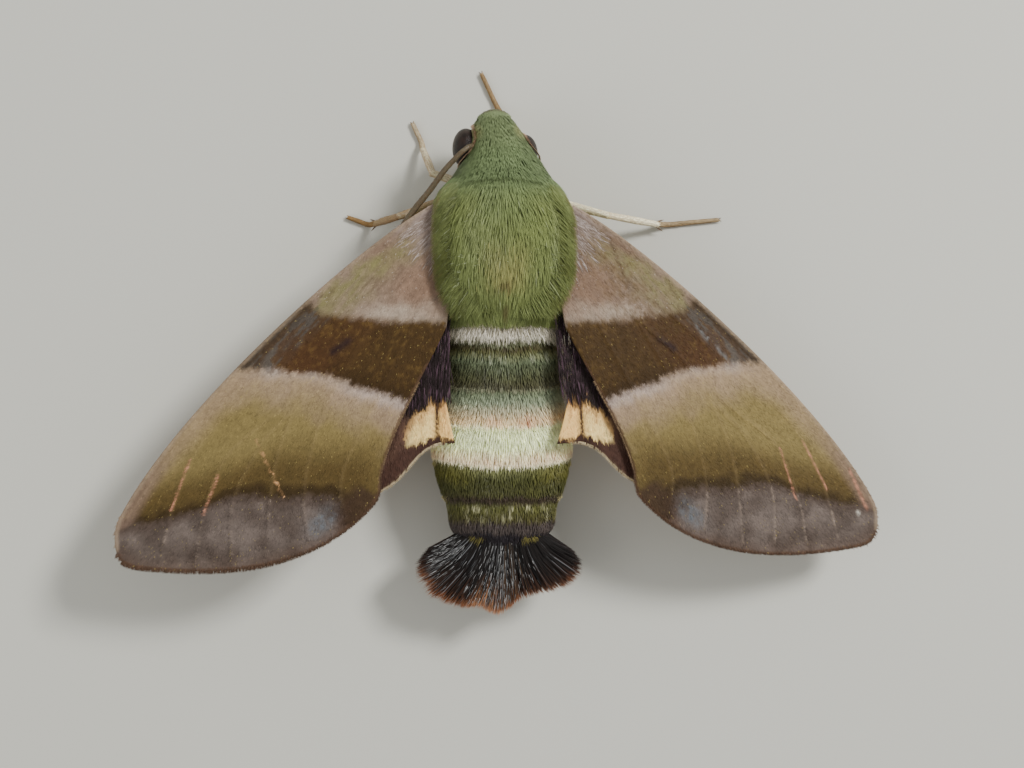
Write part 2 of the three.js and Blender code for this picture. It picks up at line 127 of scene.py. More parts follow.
# ---- Body skin ----
# One hide over the head, mouth palps, chest, shoulders and the seven rings of the belly. It lies inside
# the coat by the coat's depth, and each belly ring overlaps the next like a roof tile.
# Distance along the body, half width, top, bottom, and depth of the coat.
TRUNK = np.array([
    (-20.80, 1.90, 4.60, 2.90, 0.10),
    (-20.00, 3.10, 5.30, 2.30, 0.24),
    (-18.00, 3.80, 6.10, 1.60, 0.26),
    (-16.00, 4.50, 6.60, 1.10, 0.26),
    (-14.20, 4.75, 6.80, 0.90, 0.26),
    (-11.20, 4.20, 6.80, 0.95, 0.26),
    (-8.90, 4.00, 6.90, 1.10, 0.28),
    (-7.40, 4.00, 7.10, 1.35, 0.36),
    (-6.20, 4.05, 7.70, 1.50, 0.50),
    (-5.20, 4.15, 8.60, 1.40, 0.70),
    (-3.40, 4.50, 9.60, 1.20, 0.75),
    (-1.20, 4.60, 10.00, 1.10, 0.75),
    (0.80, 4.60, 9.80, 1.30, 0.70),
    (2.40, 4.20, 9.20, 2.00, 0.50),
    (3.50, 3.35, 8.45, 2.80, 0.34),
    (4.80, 2.60, 7.90, 2.90, 0.26),
    (6.00, 2.00, 7.30, 3.20, 0.22),
    (6.80, 1.55, 6.85, 3.80, 0.18),
    (7.35, 1.12, 6.44, 4.32, 0.16),
    (7.60, 0.76, 6.14, 4.76, 0.13),
    (7.70, 0.42, 5.86, 5.10, 0.09),
    (7.73, 0.16, 5.62, 5.38, 0.05),
])
RING_ENDS = np.array([-19.9, -17.6, -15.4, -13.0, -10.5, -8.9, -7.4, -6.3])
RING_RISE = 0.10
# The rings' edges lie this much further back at the middle of the back than at the sides.
RING_ARCH = 0.5
# Sideways bends of the trunk: how far head and belly lie off the middle line, where each starts and ends.
BENDS = [(-0.43, 4.6, 7.3), (0.15, -6.3, -9.0)]
SHOULDER = {"side": 0.72, "y": -1.4, "half_side": 0.26, "half_length": 2.8, "height": 0.35}


def smooth_table(table, spacing):
    """Rows of a table on a smooth curve through it, at even steps of its first column."""
    at, values = table[:, 0], table[:, 1:]
    slopes = np.gradient(values, at, axis=0)
    fine = np.append(np.arange(at[0], at[-1], spacing), at[-1])
    k = np.clip(np.searchsorted(at, fine, "right") - 1, 0, len(at) - 2)
    gap = (at[k + 1] - at[k])[:, None]
    t = (fine - at[k])[:, None] / gap
    rows = ((2 * t**3 - 3 * t**2 + 1) * values[k] + (t**3 - 2 * t**2 + t) * gap * slopes[k]
            + (3 * t**2 - 2 * t**3) * values[k + 1] + (t**3 - t**2) * gap * slopes[k + 1])
    return fine, rows


trunk_at, trunk_rows = smooth_table(TRUNK, spacing=0.05)


def bent(points, way=1):
    """Points of the trunk moved sideways with its bends, or set straight again with way -1."""
    points = np.array(points, float)
    for shift, start, end in BENDS:
        share = np.clip((points[..., 1] - start) / (end - start), 0, 1)
        points[..., 0] += way * shift * share * share * (3 - 2 * share)
    return points


def ring_place(across, y):
    """The place along the belly's middle that a spot belongs to.

    across is 0 at the middle of the back and 1 at a side.
    """
    arch = RING_ARCH * np.interp(y, (-17.2, -15.6, -6.9, -6.2), (0.1, 1, 0.7, 0))
    return y - arch * np.clip(across, -1, 1) ** 2


def trunk_point(side, y, height=0.0):
    """A point over the skin. side is the angle from the middle of the back, positive to the right."""
    half_width, top, bottom, depth = (np.interp(y, trunk_at, trunk_rows[:, i]) for i in range(4))
    shoulder = SHOULDER["height"] * np.exp(
        -((np.abs(side) - SHOULDER["side"]) / SHOULDER["half_side"]) ** 2
        - ((y - SHOULDER["y"]) / SHOULDER["half_length"]) ** 4)
    place = ring_place(np.sin(side), y)
    ring = np.clip(np.searchsorted(RING_ENDS, place) - 1, 0, len(RING_ENDS) - 2)
    share = np.clip((RING_ENDS[ring + 1] - place) / (RING_ENDS[ring + 1] - RING_ENDS[ring]), 0, 1)
    tile = np.where(place < RING_ENDS[-1], RING_RISE * (share - 0.5), 0)
    grow = height - depth + shoulder + tile
    x = (half_width + grow) * np.sin(side)
    z = (top + bottom) / 2 + ((top - bottom) / 2 + grow) * np.cos(side)
    return bent(np.stack(np.broadcast_arrays(x, y, z), axis=-1))


def unit(vectors):
    """Vectors made one long."""
    return vectors / np.maximum(np.linalg.norm(vectors, axis=-1, keepdims=True), 1e-9)


def trunk_normal(side, y, side_step=0.02, y_step=0.3):
    """The way out of the skin, from the skin a little to either side."""
    around = trunk_point(side + side_step, y) - trunk_point(side - side_step, y)
    along = trunk_point(side, y + y_step) - trunk_point(side, y - y_step)
    return unit(np.cross(around, along))


def run_along(points):
    """How far along a line each of its points lies."""
    return np.concatenate([[0], np.cumsum(np.linalg.norm(np.diff(points, axis=0), axis=1))])


def grid_faces(rows, columns, closed=False):
    """Quads of a grid of points, numbered row by row."""
    k = np.arange(rows - 1)[:, None]
    i = np.arange(columns if closed else columns - 1)[None, :]
    following = (i + 1) % columns
    corners = (k * columns + i, k * columns + following,
               (k + 1) * columns + following, (k + 1) * columns + i)
    return np.stack(corners, axis=-1).reshape(-1, 4)


UPRIGHT = np.array([0.0, 0.0, 1.0])
# How far a tube's rounded ends stand out, as a share of its radius.
TUBE_END = 0.4


def tube(path, radius, sides):
    """Points and faces of a closed round tube along a path, with rounded ends."""
    path = np.asarray(path, float)
    radius = np.broadcast_to(radius, len(path))
    along = unit(np.gradient(path, axis=0))
    side = unit(np.cross(along, UPRIGHT if abs(along[0][2]) < 0.9 else np.array([1.0, 0.0, 0.0])))
    rise = np.cross(side, along)
    turn = np.linspace(0, 2 * math.pi, sides, endpoint=False)
    rings = (path[:, None] + radius[:, None, None]
             * (np.cos(turn)[None, :, None] * side[:, None]
                + np.sin(turn)[None, :, None] * rise[:, None]))
    points = np.vstack([rings.reshape(-1, 3), path[:1] - along[:1] * radius[0] * TUBE_END,
                        path[-1:] + along[-1:] * radius[-1] * TUBE_END])
    quads = grid_faces(len(path), sides, closed=True)
    start, end = len(points) - 2, len(points) - 1
    last = (len(path) - 1) * sides
    caps = [(start, (i + 1) % sides, i) for i in range(sides)]
    caps += [(end, last + i, last + (i + 1) % sides) for i in range(sides)]
    return points, [tuple(q[::-1]) for q in quads] + [c[::-1] for c in caps]


def make_mesh(name, points, faces, smooth=True):
    """A mesh in the scene from points in millimetres on the moth's own axes."""
    mesh = bpy.data.meshes.new(name)
    points = np.asarray(points, float)
    sizes = np.array([len(face) for face in faces]) if isinstance(faces, list) else (
        np.full(len(faces), faces.shape[1]))
    corners = np.concatenate([np.ravel(face) for face in faces]) if isinstance(faces, list) else (
        faces.ravel())
    mesh.vertices.add(len(points))
    mesh.vertices.foreach_set("co", (points * MM + ORIGIN).astype(np.float32).ravel())
    mesh.loops.add(len(corners))
    mesh.loops.foreach_set("vertex_index", corners.astype(np.int32))
    mesh.polygons.add(len(sizes))
    starts = np.concatenate([[0], np.cumsum(sizes)[:-1]])
    mesh.polygons.foreach_set("loop_start", starts.astype(np.int32))
    mesh.polygons.foreach_set("use_smooth", np.full(len(sizes), smooth))
    mesh.update(calc_edges=True)
    return mesh


def write(mesh, name, values):
    """A number or a colour for each point of a mesh."""
    values = np.asarray(values, np.float32)
    if values.ndim == 1:
        mesh.attributes.new(name, "FLOAT", "POINT").data.foreach_set("value", values)
    else:
        four = np.concatenate([values[:, :3], np.ones((len(values), 1), np.float32)], axis=1)
        mesh.attributes.new(name, "FLOAT_COLOR", "POINT").data.foreach_set("color", four.ravel())


def show(name, mesh, material, slot, *nodes):
    """Puts a finished mesh in the scene as a piece that rides on the moth."""
    piece = bpy.data.objects.new(name, mesh)
    bpy.context.scene.collection.objects.link(piece)
    if not mesh.materials:
        mesh.materials.append(material)
    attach(piece, "root")
    if nodes:
        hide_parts(*nodes)
    return piece


def mottle(points, size, seed):
    """Smooth random values between 0 and 1, in blots of a given size."""
    cells = points / size + seed * 17.31
    whole = np.floor(cells)
    part = cells - whole
    part = part * part * (3 - 2 * part)
    total = np.zeros(points.shape[:-1])
    for corner in np.ndindex(2, 2, 2):
        lattice = whole + corner
        value = np.sin(lattice @ np.array([127.1, 311.7, 74.7]) + seed) * 43758.5453
        weight = np.prod(np.where(corner, part, 1 - part), axis=-1)
        total += weight * (value - np.floor(value))
    return total


def ramp(value, low, high):
    """0 below low, 1 above high, smooth between."""
    t = np.clip((value - low) / (high - low), 0, 1)
    return t * t * (3 - 2 * t)


def over(colour, upper, share):
    """A colour laid over others, by a share for each of them."""
    return colour + (np.asarray(upper)[..., :3] - colour) * share[..., None]


def tones(colour, strength):
    """One colour in several strengths, from 0 for black to 1 for the colour itself."""
    return np.asarray(colour)[:3] * np.asarray(strength)[..., None]


def between(lower, upper, share):
    """Colours between two, by a share for each of them."""
    return over(tones(lower, np.ones(len(share))), upper, share)


TEAL = srgb(110, 126, 84)
LEAF = srgb(115, 125, 72)
MOSS = srgb(86, 92, 44)
GOLD_MOSS = srgb(146, 140, 84)
DARK_NOSE = srgb(70, 52, 36)
UNDER_CREAM = srgb(204, 192, 166)
# Bands of the belly: where each starts, and its colour.
BANDS = [
    (-6.2, srgb(168, 158, 134)), (-7.1, srgb(186, 180, 158)), (-7.5, srgb(104, 108, 76)),
    (-7.72, srgb(70, 62, 38)), (-7.95, srgb(86, 86, 48)), (-8.3, srgb(112, 116, 82)),
    (-8.6, srgb(100, 110, 82)), (-9.6, srgb(79, 81, 52)), (-10.25, srgb(71, 68, 46)),
    (-10.48, srgb(136, 136, 109)), (-10.62, srgb(110, 120, 90)), (-11.3, srgb(147, 157, 128)),
    (-11.9, srgb(192, 182, 148)), (-12.6, srgb(240, 212, 162)), (-12.84, srgb(255, 248, 206)),
    (-13, srgb(238, 243, 194)), (-14.2, srgb(240, 246, 196)), (-15, srgb(250, 236, 194)),
    (-15.28, srgb(236, 218, 184)), (-15.38, srgb(255, 250, 214)), (-15.5, srgb(114, 116, 72)),
    (-16.2, srgb(65, 67, 30)), (-17.2, srgb(71, 71, 35)), (-17.5, srgb(61, 49, 38)),
    (-17.75, srgb(67, 58, 42)), (-17.95, srgb(89, 90, 44)), (-18.9, srgb(71, 67, 35)),
    (-19.25, srgb(73, 63, 59)), (-19.7, srgb(73, 64, 59)), (-19.95, srgb(35, 29, 33)),
    (-20.8, srgb(30, 26, 28)),
]
band_at = np.array([-b[0] for b in BANDS])
band_colours = np.array([b[1][:3] for b in BANDS])


def coat_colour(points):
    """The markings of skin and coat at points on the moth's own axes, with some painted shade and painted
    highlights.
    """
    points = bent(points, way=-1)
    x, y, z = points[..., 0], points[..., 1], points[..., 2]
    wide = np.abs(x)
    blots = mottle(points, size=1.6, seed=3)
    fine = mottle(points, size=0.35, seed=5)
    lock = mottle(points * np.array([1, 0.3, 1]), size=0.3, seed=7)
    colour = np.zeros(points.shape[:-1] + (3,)) + np.array(LEAF[:3])
    centre_line = ramp(-wide, -2.2, -0.8) * ramp(y, -0.4, 1.2) * ramp(-y, -3.4, -1.2)
    colour = over(colour, TEAL, np.minimum(ramp(y, 1.2, 3.4) + 0.35 * centre_line, 1))
    colour = over(colour, srgb(124, 136, 94), ramp(y, 4.6, 6.2) * 0.5)
    flank = ramp(wide, 2.4, 4.3) * ramp(-y, -2.5, 0.5)
    colour = over(colour, MOSS, flank * (0.45 + 0.5 * ramp(lock, 0.35, 0.7)))
    colour = over(colour, MOSS, ramp(-y, 3.4, 5.8) * (0.05 + 0.5 * ramp(lock, 0.4, 0.7)))
    middle = ramp(-wide, -1.9, -0.5) * ramp(-y, 0.4, 2.0) * ramp(y, -4.6, -3.4)
    colour = over(colour, GOLD_MOSS, middle * (0.15 + 0.6 * blots))
    spots = np.minimum(np.hypot(wide - 0.14, (y + 3.75) * 0.8), np.hypot(x - 0.1, (y + 5.3) * 0.5))
    colour = over(colour, srgb(84, 66, 38), ramp(-spots, -0.42, -0.08) * 0.6)
    # The dark line where the head's coat meets the chest's hair is painted shade in that crease.
    collar_crease_shade = ramp(-np.abs(y - 3.02 + 0.04 * x ** 2), -0.16, -0.03) * ramp(-wide, -2.6, -1.9)
    colour = over(colour, srgb(74, 86, 50), collar_crease_shade * 0.8)
    brow = np.hypot(wide - 1.35, (y - 6.5) * 0.7)
    colour = over(colour, srgb(150, 152, 100), ramp(-brow, -0.6, -0.1) * 0.8)
    colour = over(colour, DARK_NOSE, ramp(y, 7.5, 7.7) * ramp(-z, -6.2, -5.7) * 0.8)
    y = ring_place(x / np.interp(y, TRUNK[:, 0], TRUNK[:, 1]), y)
    wobble = y + (fine - 0.5) * 0.20 + (blots - 0.5) * 0.12
    banded = np.stack([np.interp(-wobble, band_at, band_colours[:, i]) for i in range(3)], axis=-1)
    streak = mottle(points * np.array([1, 0.15, 1]), size=0.16, seed=9)
    strong = ramp(streak, 0.55, 0.85)
    blush = ramp(mottle(points, size=0.9, seed=12), 0.5, 0.8)
    banded = over(banded, srgb(214, 160, 128), blush * ramp(-y, 11.8, 12.5)
                  * ramp(y, -13.0, -12.8) * (0.3 + 0.5 * strong))
    banded = over(banded, srgb(214, 178, 150), strong * ramp(-y, 14.2, 15.0) * ramp(y, -15.4, -15.2) * 0.5)
    # The yellow at the sides of the olive band, the pale streaks on the last ring and those behind the waist
    # are painted highlights.
    banded = over(banded, srgb(112, 108, 46), ramp(wide, 1.2, 3.4) * ramp(-y, 15.5, 15.7)
                  * ramp(y, -16.9, -16.1) * 0.5)
    banded = over(banded, srgb(182, 178, 140), strong * ramp(-y, 17.8, 18.0) * ramp(y, -19.2, -18.6) * 0.65)
    banded = over(banded, srgb(160, 164, 138), strong * ramp(-y, 7.9, 8.2) * ramp(y, -8.9, -8.5) * 0.7)
    banded = over(banded, srgb(46, 46, 34), ramp(-streak, -0.42, -0.2) * ramp(-y, 8.6, 9.2)
                  * ramp(y, -10.5, -10.3) * 0.5)
    belly = ramp(-y, 6.15, 6.3)[..., None]
    colour = colour * (1 - belly) + banded * belly
    under = ramp(-z, -3.6, -2.4) * ramp(y, -7.0, -5.0)
    colour = over(colour, UNDER_CREAM, under)
    rear_under = ramp(-z, -2.9, -1.9) * (1 - ramp(y, -7.0, -5.0))
    colour = over(colour, srgb(150, 128, 98), rear_under * 0.8)
    return colour * (0.88 + 0.24 * fine + 0.16 * (blots - 0.5))[..., None]


class Wire:
    """One socket of a node tree, on which sums are written as on a number."""

    def __init__(self, graph, socket):
        self.graph, self.socket = graph, socket

    def sum(self, operation, first, second=0.0):
        return self.graph.node("ShaderNodeMath", {"operation": operation}, {0: first, 1: second})

    def __add__(self, other):
        return self.sum("ADD", self, other)

    def __radd__(self, other):
        return self.sum("ADD", other, self)

    def __sub__(self, other):
        return self.sum("SUBTRACT", self, other)

    def __rsub__(self, other):
        return self.sum("SUBTRACT", other, self)

    def __mul__(self, other):
        return self.sum("MULTIPLY", self, other)

    def __rmul__(self, other):
        return self.sum("MULTIPLY", other, self)


class Graph:
    """A node tree that is written one node at a time."""

    def __init__(self, tree):
        self.tree = tree

    def node(self, kind, settings=None, sockets=None, output=0):
        made = self.tree.nodes.new(kind)
        for key, value in (settings or {}).items():
            setattr(made, key, value)
        for key, value in (sockets or {}).items():
            if isinstance(value, Wire):
                self.tree.links.new(value.socket, made.inputs[key])
            else:
                made.inputs[key].default_value = value
        return Wire(self, made.outputs[output])


class Paint(Graph):
    """A material, built up from noises, masks and mixed colours."""

    def __init__(self, name, **settings):
        self.material = bpy.data.materials.new(name)
        self.material.use_nodes = True
        super().__init__(self.material.node_tree)
        self.shader = self.tree.nodes["Principled BSDF"]
        for key, value in settings.items():
            self.shader.inputs[key.replace("_", " ")].default_value = value
        self.place = self.node("ShaderNodeTexCoord", output="Object")

    def noise(self, size, detail, stretch=None):
        """Cloudy values between 0 and 1, in blots of a size in millimetres."""
        place = self.place
        if stretch:
            place = self.node("ShaderNodeMapping", sockets={"Vector": place, "Scale": stretch})
        return self.node("ShaderNodeTexNoise", sockets={
            "Vector": place, "Scale": 1 / (size * MM), "Detail": detail})

    def read(self, name, output="Fac"):
        """A value written on the mesh."""
        return self.node("ShaderNodeAttribute", {"attribute_name": name}, output=output)

    def step(self, value, low, high):
        """0 where a value is below low, 1 where it is above high, smooth between."""
        return self.node("ShaderNodeMapRange", {"interpolation_type": "SMOOTHSTEP"},
                         {"Value": value, "From Min": low, "From Max": high})

    def mix(self, share, lower, upper):
        """One colour that gives way to another. A Mix node's colours are its sockets 6 and 7."""
        return self.node("ShaderNodeMix", {"data_type": "RGBA"}, {0: share, 6: lower, 7: upper}, output=2)

    def shade(self, colour, value):
        """The colour made lighter or darker by a value around 1."""
        return self.node("ShaderNodeVectorMath", {"operation": "SCALE"},
                         {0: colour, "Scale": value})

    def bump(self, height, depth):
        """Bumps of a depth in millimetres."""
        return self.node("ShaderNodeBump", sockets={
            "Height": height, "Distance": depth * MM, "Strength": 1.0})

    def finish(self, **sockets):
        """The finished material, with these wires led to its shader."""
        for key, wire in sockets.items():
            self.tree.links.new(wire.socket, self.shader.inputs[key.replace("_", " ")])
        return self.material


skin_paint = Paint("skin", Roughness=0.7, Specular_IOR_Level=0.25)
skin_hairs = skin_paint.noise(size=0.07, detail=2, stretch=(1, 0.14, 1))
skin_finish = skin_paint.finish(
    Base_Color=skin_paint.shade(skin_paint.read("tint", "Color"), 0.55 + skin_hairs * 0.6),
    Normal=skin_paint.bump(skin_hairs, depth=0.06))

PALP = [(5.1, 2.3), (6.3, 2.75), (6.95, 3.5), (7.3, 4.4)]
PALP_SIDE = 0.68
PALP_RADIUS = 0.46
PALP_LENGTHS, PALP_SIDES = 25, 20
SKIN_AROUND, SKIN_ALONG = 120, 260
SKIN_CELL = 0.14
sides = np.linspace(-math.pi, math.pi, SKIN_AROUND, endpoint=False)
lengths = np.linspace(TRUNK[0][0], TRUNK[-1][0], SKIN_ALONG)
hide = trunk_point(sides[None, :], lengths[:, None]).reshape(-1, 3)
hide_faces = [tuple(q[::-1]) for q in grid_faces(SKIN_ALONG, SKIN_AROUND, closed=True)]
hide_faces += [tuple(range(SKIN_AROUND)),
               tuple(range(len(hide) - 1, len(hide) - SKIN_AROUND - 1, -1))]
hide_points = [hide]
for side in (-1, 1):
    palp_path = np.array([(side * PALP_SIDE, y, z) for y, z in PALP])
    palp_steps = np.linspace(0, len(PALP) - 1, PALP_LENGTHS)
    palp_curve = np.stack([np.interp(palp_steps, range(len(PALP)), palp_path[:, i])
                           for i in range(3)], axis=-1)
    points, faces = tube(bent(palp_curve), PALP_RADIUS, PALP_SIDES)
    count = sum(len(p) for p in hide_points)
    hide_faces += [tuple(int(i) + count for i in face) for face in faces]
    hide_points.append(points)
rough_hide = make_mesh("rough hide", np.vstack(hide_points), hide_faces)
# The parts are fused at a thousand times their size, where the smallest cell allowed is fine enough.
ENLARGED = 1000
positions = np.empty(len(rough_hide.vertices) * 3, np.float32)
rough_hide.vertices.foreach_get("co", positions)
rough_hide.vertices.foreach_set("co", positions * ENLARGED)
hide_object = bpy.data.objects.new("rough hide", rough_hide)
bpy.context.scene.collection.objects.link(hide_object)
fuse = hide_object.modifiers.new("fuse", "REMESH")
fuse.mode = "VOXEL"
fuse.voxel_size = SKIN_CELL
soften = hide_object.modifiers.new("soften", "SMOOTH")
soften.factor = 0.5
soften.iterations = 2
fused = hide_object.evaluated_get(bpy.context.evaluated_depsgraph_get())
skin_mesh = bpy.data.meshes.new_from_object(fused)
bpy.data.objects.remove(hide_object)
positions = np.empty(len(skin_mesh.vertices) * 3, np.float32)
skin_mesh.vertices.foreach_get("co", positions)
skin_mesh.vertices.foreach_set("co", positions / ENLARGED)
skin_mesh.polygons.foreach_set("use_smooth", np.ones(len(skin_mesh.polygons), bool))
own_points = (positions.reshape(-1, 3) / ENLARGED - ORIGIN) / MM
write(skin_mesh, "tint", coat_colour(own_points))
show("body_skin", skin_mesh, skin_finish, "green_coat", "head", "thorax", "palp_left", "palp_right",
     "tegula_left", "tegula_right", *[f"abdomen_{i}" for i in range(1, 8)])

# ---- Coat of head, chest and belly ----
# Flattened hairs and narrow scales with three faces, rooted in the skin and combed back along the body.
# Each takes its colour from the marking that its middle lies over. They are joined in pieces by region.
rng = np.random.default_rng(41)
# The share of a piece's map that one blade takes up.
PATCH = 0.003
# Where the stations of a blade lie between its root and its tip.
STRAIGHT, CURVED = (0, 1), (0, 0.5, 1)
# Places along a blade, and its width there as a share of its full width.
POINTED = ([0, 0.5, 1], [0.75, 1.0, 0.2])
BLUNT = ([0, 0.75, 1], [0.55, 1.0, 0.6])


def strands(name, spine, up, width, tint, place, thickness=0.25):
    """A joined mesh of tapering blades. spine is (blades, stations, 3), and the last station is a tip.

    tint is one colour for each blade, or one for each of its stations.
    """
    count, stations = spine.shape[:2]
    along = unit(np.gradient(spine, axis=1))
    if up.ndim == 2:
        up = np.repeat(up[:, None], stations, axis=1)
    side = unit(np.cross(along, up))
    rise = np.cross(side, along)
    half = width[..., None] / 2
    left, right = spine - side * half, spine + side * half
    ridge = spine + rise * half * 2 * thickness
    rings = np.stack([left, right, ridge], axis=2)[:, :-1].reshape(count, -1, 3)
    points = np.concatenate([rings, spine[:, -1:]], axis=1)
    per = points.shape[1]
    tip = per - 1
    pattern = [(0, 1, 2)]
    for k in range(stations - 2):
        for a, b in ((0, 2), (2, 1), (1, 0)):
            low_ring, high_ring = 3 * k, 3 * (k + 1)
            pattern.append((low_ring + a, low_ring + b, high_ring + b))
            pattern.append((low_ring + a, high_ring + b, high_ring + a))
    last = 3 * (stations - 2)
    pattern += [(last + a, last + b, tip) for a, b in ((0, 2), (2, 1), (1, 0))]
    pattern = np.array(pattern)
    faces = (np.arange(count)[:, None, None] * per + pattern[None]).reshape(-1, 3)
    mesh = make_mesh(name, points.reshape(-1, 3), faces, smooth=False)
    if tint.ndim == 2:
        tint = np.repeat(tint[:, None], stations, axis=1)
    ring_tint = np.repeat(tint[:, :-1], 3, axis=1)
    write(mesh, "tint", np.concatenate([ring_tint, tint[:, -1:]], axis=1).reshape(-1, 3))
    share = np.append(np.repeat(np.arange(stations - 1) / (stations - 1), 3), 1.0)
    write(mesh, "along", np.tile(share, count))
    corner = np.append(np.tile([0.0, 1.0, 0.5], stations - 1), 0.5)
    local = np.stack([corner, share], axis=-1) * PATCH
    spots = place[:, None, :] * (1 - PATCH) + local[None]
    layer = mesh.uv_layers.new(name="OFBake")
    layer.data.foreach_set("uv", spots.reshape(-1, 2)[faces.ravel()].astype(np.float32).ravel())
    return mesh


def bowed(root, knee, tip, shares):
    """Spines from root to tip that bow towards a knee, at shares of their length."""
    t = shares[..., None]
    return (1 - t) ** 2 * root[:, None] + 2 * t * (1 - t) * knee[:, None] + t ** 2 * tip[:, None]


def trunk_place(side, y):
    """Where a spot on the trunk lies on a flat map of the body's skin."""
    return np.stack([(side + math.pi) / (2 * math.pi),
                     (y - TRUNK[0][0]) / (TRUNK[-1][0] - TRUNK[0][0])], axis=-1)


def scatter(count, y_low, y_high, reach):
    """Even random roots on the trunk, as angles from the middle of the back and places along it."""
    y = rng.uniform(y_low, y_high, count * 4)
    girth = np.interp(y, trunk_at, trunk_rows[:, 0])
    y = y[rng.random(len(y)) < girth / girth.max()][:count]
    return rng.uniform(-reach, reach, len(y)), y


# How deep in the skin the blades are rooted, and how far outside it they lie.
ROOT_DEPTH, COAT_OUTWARD = 0.06, 0.3
# Half the width, as an angle, of the strip along the back where the blades part to both sides.
PARTING = 0.25


def comb(name, side, y, length, lift, drift, width, tint, stations, thickness=0.25):
    """Pointed blades combed back over the trunk. drift is how far they lean outwards for their length."""
    t = np.array(stations)
    radius = np.interp(y, trunk_at, trunk_rows[:, 0]) + COAT_OUTWARD
    lean = np.clip(side / PARTING, -1, 1) * drift
    run = length[:, None] * t
    down = y[:, None] - run * np.sqrt(1 - np.clip(lean, -0.9, 0.9) ** 2)[:, None]
    around = side[:, None] + run * lean[:, None] / radius[:, None]
    height = lift[:, None] * (1 - (1 - t) ** 2) - ROOT_DEPTH * (1 - t)
    spine = trunk_point(around, down, height)
    up = trunk_normal(side, y)
    blade = width[:, None] * np.interp(t, *POINTED)
    return strands(name, spine, up, blade, tint, trunk_place(side, y), thickness)


def coat_paint(name, roughness, dark, light):
    """A finish for hairs and scales: darker at the root, with fine changes from one to the next."""
    paint = Paint(name, Roughness=roughness, Specular_IOR_Level=0.25)
    along = paint.read("along")
    fleck = paint.noise(size=0.3, detail=3)
    tone = dark + along * (light - dark) + (fleck - 0.5) * 0.3
    colour = paint.shade(paint.read("tint", "Color"), tone)
    grain = paint.noise(size=0.05, detail=1, stretch=(1, 0.2, 1))
    return paint.finish(Base_Color=colour, Roughness=roughness + (fleck - 0.5) * 0.2,
                        Normal=paint.bump(grain, depth=0.01))


hair_finish = coat_paint("green hair", roughness=0.5, dark=0.85, light=1.45)
scale_finish = coat_paint("body scales", roughness=0.5, dark=0.85, light=1.35)
head_finish = coat_paint("head scales", roughness=0.5, dark=0.95, light=1.12)


def varied(points, spread, seed):
    """Marking colours at roots, with each blade a little lighter or darker."""
    local = np.random.default_rng(seed)
    tone = 1 + local.normal(0, spread, len(points))
    return coat_colour(points) * np.clip(tone, 0.4, 1.8)[:, None]


# The head is rolled and turned a little, so the left eye stands further out and further forward.
# Each has its place across and along.
EYE = {"left": (2.2, 5.45), "right": (1.58, 5.1), "z": 4.9, "depth": 0.9, "length": 1.3, "height": 1.5}


def outside_eyes(side, y):
    """Which roots lie clear of the eyes."""
    points = bent(trunk_point(side, y), way=-1)
    across, along = (np.where(points[:, 0] < 0, EYE["left"][i], EYE["right"][i]) for i in (0, 1))
    away = ((np.abs(points[:, 0]) - across) / EYE["depth"]) ** 2
    away += ((points[:, 1] - along) / EYE["length"]) ** 2
    away += ((points[:, 2] - EYE["z"]) / EYE["height"]) ** 2
    return away > 1.0


side, y = scatter(12500, y_low=2.75, y_high=7.72, reach=math.pi)
keep = outside_eyes(side, y)
side, y = side[keep], y[keep]
length = rng.uniform(0.34, 0.54, len(y))
tint = varied(trunk_point(side, y - 0.5 * length), spread=0.05, seed=1)
lift = rng.uniform(0.13, 0.19, len(y)) + 0.1 * ramp(-y, -4.9, -3.5)
head_coat = comb("head_coat", side, y, length, lift, drift=0.12 + rng.normal(0, 0.05, len(y)),
                 width=rng.uniform(0.05, 0.08, len(y)), tint=tint, stations=CURVED, thickness=0.07)
show("head_coat", head_coat, head_finish, "green_coat")

# On the face the scales lie downwards from the crown to the palps, and curve with the face.
FACE_SCALES = 900
FACE_MIDDLE = (0.0, 6.1, 4.9)
FACE_RADIUS = 1.4
side, y = rng.uniform(-2.3, 2.3, FACE_SCALES), rng.uniform(7.3, 7.7, FACE_SCALES)
root = trunk_point(side, y)
outward = unit(root - bent([FACE_MIDDLE])[0])
downward = np.array([0.0, 0.1, -1.0])
heading = unit(downward - outward * (outward @ downward)[:, None])
t = np.array(CURVED)
run = (rng.uniform(0.3, 0.5, FACE_SCALES)[:, None] * t)[..., None]
rise = (rng.uniform(0.07, 0.15, FACE_SCALES)[:, None] * (1 - (1 - t) ** 2))[..., None]
rise = rise - run ** 2 / (2 * FACE_RADIUS)
spine = root[:, None] + heading[:, None] * run + outward[:, None] * rise
width = rng.uniform(0.05, 0.08, FACE_SCALES)[:, None] * np.interp(t, *POINTED)
face = strands("face_coat", spine, outward, width, varied(spine[:, 1], spread=0.05, seed=2),
               trunk_place(side, y), thickness=0.1)
show("face_coat", face, head_finish, "green_coat")

